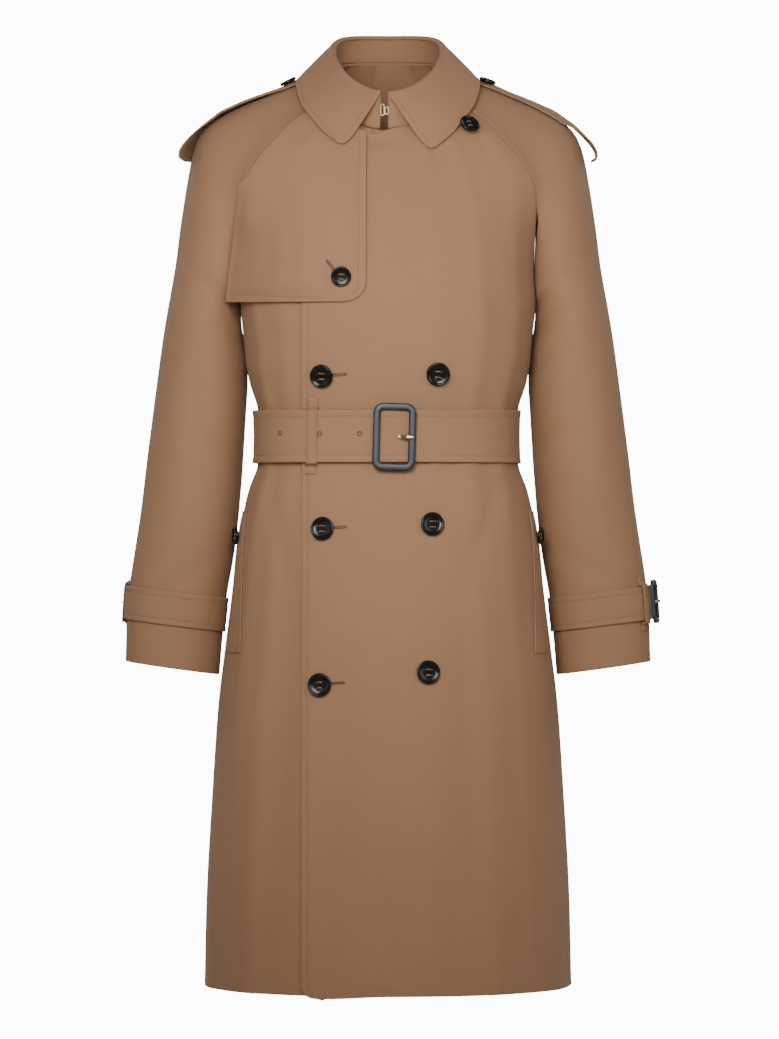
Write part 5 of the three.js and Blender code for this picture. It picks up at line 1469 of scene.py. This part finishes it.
def makeBuckle(name, prongName, nodes, seat, normal, spec, clear, up=Vector((0, 0, 1))):
    matrix = turnedTo(seat + normal * clear, normal, up)
    bar, thick = spec["bar"], spec["thickness"]
    path = roundedPath(spec["width"] - bar, spec["height"] - bar, spec["corner"])
    section = roundSection(bar / 2, thick / 2, 20, 3.2)
    places, faces = sweep(path, section, True)
    lifted = [p + Vector((0, 0, thick / 2)) for p in places]
    frameHeap = Heap()
    frameHeap.take(placed(lifted, matrix), faces)
    piece = standFor(frameHeap.link(name, darkLeather), "leather", nodes[0])
    # The prong is a bent wire whose tip rests on the side bar
    reach, wide = spec["prongReach"], spec["prongWidth"]
    root = spec["width"] / 2 - bar / 2 - reach
    stages = []
    for k in range(25):
        t = k / 24
        x = mix(-6, reach + 2, t)
        z = 0.3 + (thick + clear + 0.4) * smoothStep(0.1, 0.62, t) + 1.0
        narrow = mix(1, 0.55, smoothStep(0.55, 1, t))
        stages.append((Vector((x + root, 0, z)), Vector((0, narrow, 0)), Vector((0, 0, 1))))
    places, faces = sweep(stages, roundSection(wide / 2, 1.05, 12, 2.4), False)
    prongHeap = Heap()
    prongHeap.take(placed(places, turnedTo(seat, normal, up)), faces)
    standFor(prongHeap.link(prongName, paleGoldMetal), "pale_gold", nodes[1])
    return piece


buckleSpec = {
    "x": 7.5, "z": -412, "width": 51, "height": 80, "bar": 8.8, "thickness": 6, "corner": 8, "tilt": 1.5,
    "prongReach": 11, "prongWidth": 4.7,
}
beltGround = Ground(beltStrap)
tilt = math.radians(buckleSpec["tilt"])
buckleSeat = beltGround.fromFront(buckleSpec["x"], buckleSpec["z"])[0]
makeBuckle("beltBuckle", "beltProng", ("belt_buckle", "belt_prong"), buckleSeat, Vector((0, -1, 0)), buckleSpec, 0.8,
           Vector((math.sin(tilt), 0, math.cos(tilt))))

# Cuff straps with their loops and buckles
cuffSpec = {
    "topRow": 19.15, "bottomRow": 20.02, "columns": 120, "rows": 8, "tail": 0.12, "clear": 0.8, "thickness": 2, "stitch": 6.5,
}
cuffLayer = cuffSpec["thickness"] + 0.6
cuffBuckleSpec = {"width": 36, "height": 53, "bar": 6.5, "thickness": 4.5, "corner": 7, "prongReach": 9, "prongWidth": 3.6}
cuffLoopSpec = {"halfWidth": 0.013, "thickness": 1.5}
cuffLoopStages = [
    {"row": 18.9, "out": 0.5},
    {"row": 19.04, "out": 0.7},
    {"row": 19.07, "out": 3.4},
    {"row": 19.09, "out": 6.0},
    {"row": 19.13, "out": 6.3},
    {"row": 19.6, "out": 6.4},
    {"row": 20.05, "out": 6.3},
    {"row": 20.09, "out": 6.0},
    {"row": 20.11, "out": 3.4},
    {"row": 20.14, "out": 0.7},
    {"row": 20.27, "out": 0.5},
]


def sleeveRing(row, around):
    turn = around - math.floor(around)
    return sleeveLine("front", row)(2 * turn) if turn < 0.5 else sleeveLine("back", row)(2 - 2 * turn)


for side, sign, at, loopAt, facing in (
    ("Left", 1, 0.47, 0.418, Vector((1, -0.2, 0.08))),
    ("Right", -1, 0.6, 0.54, Vector((-1, 0.75, 0.08))),
):
    shares = finerColumns(cuffSpec["columns"], 440)
    points = []
    for down in finerColumns(cuffSpec["rows"], 42):
        row = mix(cuffSpec["topRow"], cuffSpec["bottomRow"], down)
        halves = {half: sleeveLine(half, row) for half in ("front", "back")}
        line = []
        for u in shares:
            turn = (at + u * (1 + cuffSpec["tail"])) % 1.0
            point = halves["front"](2 * turn) if turn < 0.5 else halves["back"](2 - 2 * turn)
            line.append(mirrored(point, sign))
        points.append(line)

    def strapLift(i, j, p):
        return cuffSpec["clear"] + cuffSpec["thickness"] + cuffLayer * smoothStep(0.72, 0.87, shares[j])

    points = seamed(raised(points, -sign, strapLift), -sign, (), (("top", 6.5), ("bottom", 6.5)))
    strap = clothWall(f"cuffStrap{side}", points, -sign, cuffSpec["thickness"])
    standFor(strap, "gabardine", f"cuff_strap_{side.lower()}")
    for edge in ("top", "bottom"):
        sew("stitchingTrim", pathInside(points, -sign, edge, cuffSpec["stitch"], (5, 5)))

    points, outs = [], []
    for n in range(37):
        stageAt = n / 36 * (len(cuffLoopStages) - 1)
        row = catmull([stage["row"] for stage in cuffLoopStages], stageAt)
        outs.append(catmull([stage["out"] for stage in cuffLoopStages], stageAt) + cuffLoopSpec["thickness"])
        arounds = [loopAt + mix(-1, 1, k / 6) * cuffLoopSpec["halfWidth"] for k in range(7)]
        points.append([mirrored(sleeveRing(row, around), sign) for around in arounds])
    points = raised(points, -sign, lambda i, j, p: outs[i])
    loop = clothWall(f"cuffLoop{side}", points, -sign, cuffLoopSpec["thickness"])
    standFor(loop, "gabardine", f"cuff_loop_{side.lower()}")

    facing.normalize()
    middle = mirrored(sleeveRing(mix(cuffSpec["topRow"], cuffSpec["bottomRow"], 0.5), at), sign)
    seat = Ground(strap).land(middle + facing * 2000, -facing)[0]
    name = side.lower()
    makeBuckle(f"cuffBuckle{side}", f"cuffProng{side}", (f"cuff_buckle_{name}", f"cuff_prong_{name}"), seat, facing,
               cuffBuckleSpec, 1.6)
print("cuffs made")

# Pocket welts on both sides of the skirt
weltSpec = {
    "rows": 36, "columns": 12, "topZ": -500, "bottomZ": -668, "topAngle": 84, "bottomAngle": 72, "spread": 13,
    "clear": 0.4, "thickness": 1.3, "stitch": 5.0,
}
skirtGround = Ground(frontLeft, frontRight, backPanel)
pocketSeats = {}
for side, sign in (("Left", 1), ("Right", -1)):
    points = []
    for v in finerColumns(weltSpec["rows"], 168):
        line = []
        for u in finerColumns(weltSpec["columns"], 46):
            angle = mix(weltSpec["topAngle"], weltSpec["bottomAngle"], v) - u * weltSpec["spread"]
            z = mix(weltSpec["topZ"], weltSpec["bottomZ"], v)
            outward = mirrored(bodyPoint(angle, z, sign), sign)
            outward = Vector((outward.x, outward.y, 0)).normalized()
            line.append(skirtGround.land(outward * 2000 + Vector((0, 0, z)), -outward)[0])
        points.append(line)
    points = raised(points, sign, lambda i, j, p: weltSpec["clear"] + weltSpec["thickness"])
    points = seamed(points, sign, (), (("last", 5.0), ("top", 5.0), ("bottom", 5.0)))
    welt = clothWall(f"pocketWelt{side}", points, sign, weltSpec["thickness"])
    standFor(welt, "gabardine", f"pocket_welt_{side.lower()}")
    for edge in ("last", "top", "bottom"):
        sew("stitchingTrim", pathInside(points, sign, edge, weltSpec["stitch"], (5, 5)))
    facing = Vector((sign, -0.3, 0)).normalized()
    start = mirrored(bodyPoint(78, -529, sign), sign) + facing * 2000
    pocketSeats[side] = (Ground(welt).land(start, -facing)[0], facing)
print("pockets made")


# Buttons: a dished disc with a rim and four holes, sewn on with thread
buttonProfile = [
    (0.0, 0.0), (0.6, 0.0), (0.86, 0.08), (0.97, 0.3), (1.0, 0.52), (0.99, 0.78), (0.95, 0.95), (0.9, 1.0), (0.85, 0.96),
    (0.79, 0.8), (0.72, 0.7), (0.5, 0.64), (0.2, 0.62), (0.0, 0.62),
]
buttonSpec = {"sides": 48, "holeAt": 0.24, "holeSize": 0.085}


def plainButton(radius, thickness):
    sides = buttonSpec["sides"]
    places = [Vector((0, 0, 0))]
    for r, h in buttonProfile[1:-1]:
        for k in range(sides):
            a = 2 * math.pi * k / sides
            places.append(Vector((radius * r * math.cos(a), radius * r * math.sin(a), thickness * h)))
    places.append(Vector((0, 0, thickness * buttonProfile[-1][1])))
    rings = len(buttonProfile) - 2
    faces = [(0, 1 + (k + 1) % sides, 1 + k) for k in range(sides)]
    for n in range(rings - 1):
        for k in range(sides):
            a, b = 1 + n * sides + k, 1 + n * sides + (k + 1) % sides
            faces.append((a, b, b + sides, a + sides))
    last = 1 + (rings - 1) * sides
    faces += [(last + k, last + (k + 1) % sides, len(places) - 1) for k in range(sides)]
    return places, faces


def holePlaces(radius):
    reach = radius * buttonSpec["holeAt"]
    return [Vector((reach * sx, reach * sy, 0)) for sx, sy in ((1, 1), (-1, 1), (-1, -1), (1, -1))]


def makeButton(name, node, seat, normal, spec, clear, up=Vector((0, 0, 1))):
    radius, thickness = spec["diameter"] / 2, spec["thickness"]
    places, faces = plainButton(radius, thickness)
    button = linkPiece(name, places, faces, darkHorn)
    drills = Heap()
    for middle in holePlaces(radius):
        stages = [(middle + Vector((0, 0, h)), Vector((1, 0, 0)), Vector((0, 1, 0))) for h in (-1, thickness + 1)]
        size = radius * buttonSpec["holeSize"] * 1.25
        drills.take(*sweep(stages, roundSection(size, size, 16), False))
    drill = drills.link("drill", darkHorn)
    cut = button.modifiers.new("holes", "BOOLEAN")
    cut.operation = "DIFFERENCE"
    cut.object = drill
    cut.solver = "EXACT"
    graph = bpy.context.evaluated_depsgraph_get()
    finished = bpy.data.meshes.new_from_object(button.evaluated_get(graph))
    button.modifiers.clear()
    button.data = finished
    drillMesh = drill.data
    bpy.data.objects.remove(drill)
    bpy.data.meshes.remove(drillMesh)
    finished.transform(Matrix.Scale(1000, 4))
    finished.transform(turnedTo(seat + normal * clear, normal, up))
    finished.transform(Matrix.Scale(0.001, 4))
    standFor(button, "horn", node)
    # Thread: two bars between the holes and a shank under the button
    threads = Heap()
    holes = holePlaces(radius)
    matrix = turnedTo(seat + normal * clear, normal, up)
    for a, b in ((holes[0], holes[1]), (holes[3], holes[2])):
        for aside in (-0.35, 0.35):
            stages = []
            for k in range(9):
                t = k / 8
                middle = a.lerp(b, t) + Vector((0, aside, thickness * (0.3 + 0.5 * math.sin(math.pi * t) ** 0.4)))
                stages.append((middle, Vector((0, 1, 0)), Vector((0, 0, 1))))
            threads.take(*sweep(stages, roundSection(0.38, 0.38, 6), False))
    shank = [(Vector((0, 0, h)), Vector((1, 0, 0)), Vector((0, 1, 0))) for h in (-clear - 0.4, 0.15)]
    threads.take(*sweep(shank, roundSection(2.2, 2.2, 14), False))
    threads.places = placed(threads.places, matrix)
    standFor(threads.link(f"{name}Thread", sewingThread), "gabardine")
    return button


frontButtonSpec = {"diameter": 28, "thickness": 4.5}
chestButtonSpec = {"diameter": 24, "thickness": 4}
strapButtonSpec = {"diameter": 21, "thickness": 4}
buttonClear = 0.8
frontButtonPlaces = [(-77.8, -340), (59, -338), (-76.6, -520.5), (51.9, -515), (-79.9, -704), (47, -689)]
for n, (x, z) in enumerate(frontButtonPlaces, 1):
    seat, normal = frontGround.fromFront(x, z)
    makeButton(f"frontButton{n}", f"front_button_{n}", seat, normal, frontButtonSpec, buttonClear)
flapGround = Ground(gunFlap)
seat, _ = flapGround.fromFront(-55.4, -223)
droop = Vector((0.03, -1, -0.1)).normalized()
makeButton("gunFlapButton", "gun_flap_button", seat, droop, chestButtonSpec, buttonClear + 1.5)
seat, _ = frontGround.fromFront(95.5, -45)
throatFacing = Vector((0.33, -0.72, 0.6)).normalized()
makeButton("throatButton", "throat_button", seat + Vector((-1, -2, 1)), throatFacing, chestButtonSpec, 5.5)
for side, sign in (("Left", 1), ("Right", -1)):
    seat, normal = Ground(bpy.data.objects[f"epaulette{side}"]).fromAbove(sign * 119, 14)
    makeButton(f"epauletteButton{side}", f"epaulette_button_{side.lower()}", seat, normal, strapButtonSpec, buttonClear,
               Vector((0, -1, 0)))
    seat, facing = pocketSeats[side]
    makeButton(f"pocketButton{side}", f"pocket_button_{side.lower()}", seat, facing, strapButtonSpec, 2.2)
print("buttons made")


# Buttonholes: a corded oval round where the slit would be; no slit is cut, and the cord's darkened colour paints its
# shade
holeSpec = {"long": 25, "wide": 2.0, "cord": 0.7}
holes = Heap()


def workHole(ground, x, z, degrees, long=holeSpec["long"]):
    tilt = math.radians(degrees)
    alongWay = Vector((math.cos(tilt), 0, math.sin(tilt)))
    upWay = Vector((-math.sin(tilt), 0, math.cos(tilt)))
    half = holeSpec["wide"] / 2
    straight = long / 2 - half
    stages = []
    count = 96
    for k in range(count):
        a = 2 * math.pi * k / count
        u = straight * clamp(math.cos(a) * 1.6, -1, 1) + half * math.cos(a)
        w = half * clamp(math.sin(a) * 1.5, -1, 1)
        place = Vector((x, 0, z)) + alongWay * u + upWay * w
        seen, normal = ground.fromFront(place.x, place.z)
        outward = (alongWay * math.cos(a) + upWay * math.sin(a)).normalized()
        ridge = 1 + 0.18 * math.cos(k * math.pi)
        stages.append((seen + normal * 0.35, outward * ridge, normal * ridge))
    holes.take(*sweep(stages, roundSection(holeSpec["cord"], holeSpec["cord"], 8), True))


for x, z in ((-62, -339), (-62, -519), (-64, -702)):
    workHole(frontGround, x, z, 4)
workHole(flapGround, -66, -212, 128, 20)
# The cord's very dark colour paints the shade of a slit that is not modelled
standFor(holes.link("buttonholes", buttonholeThreadAndShade), "gabardine")

# Eyelets in the belt
eyelets = Heap()


def workEyelet(seat, normal, radius=2.4, cord=0.7):
    matrix = turnedTo(seat + normal * 0.2, normal)
    stages = []
    for k in range(28):
        a = 2 * math.pi * k / 28
        outward = Vector((math.cos(a), math.sin(a), 0))
        stages.append((outward * radius, outward, Vector((0, 0, 1))))
    places, faces = sweep(stages, roundSection(cord, cord, 8), True)
    eyelets.take(placed(places, matrix), faces)


for x, z in ((-127.8, -406.8), (-80.5, -408), (-33.6, -408)):
    seen = beltGround.fromFront(x, z)
    workEyelet(*seen)
# The eyelets use the same darkened twist, whose colour paints shade
standFor(eyelets.link("eyelets", buttonholeThreadAndShade), "gabardine")

# Hook and eye that close the stand
standGround = Ground(collarStand)
for name, node, x, aside, z, height in (("neckHook", "hook", -6.6, -5, -23, 15), ("neckEye", "eye", -1.6, 5, -24, 10)):
    seat, _ = standGround.fromFront(x + aside, z)
    seat = Vector((x, seat.y, seat.z))
    normal = Vector((0, -1, 0.1)).normalized()
    path = [(p, o, u) for p, o, u in roundedPath(4.1, height - 1.4, 2.0, 8)]
    places, faces = sweep(path, roundSection(0.52, 0.52, 10), True)
    wire = Heap()
    wire.take(placed(places, turnedTo(seat + normal * 1.7, normal)), faces)
    standFor(wire.link(name, paleGoldMetal), "pale_gold", node)

for name, heap in stitches.items():
    standFor(heap.link(name, sewingThread), "gabardine")
print("sewing made")


# Floor of pale paper
floorSpec = {"z": -1900, "half": 9000, "cells": 6}


def makeFloor():
    steps = [mix(-1, 1, k / floorSpec["cells"]) * floorSpec["half"] for k in range(floorSpec["cells"] + 1)]
    places = [Vector((x, y, floorSpec["z"])) for y in steps for x in steps]
    across = floorSpec["cells"] + 1
    corners = [row * across + k for row in range(floorSpec["cells"]) for k in range(floorSpec["cells"])]
    faces = [(a, a + 1, a + 1 + across, a + across) for a in corners]
    linkPiece("paperFloor", places, faces, studioPaper)


makeFloor()
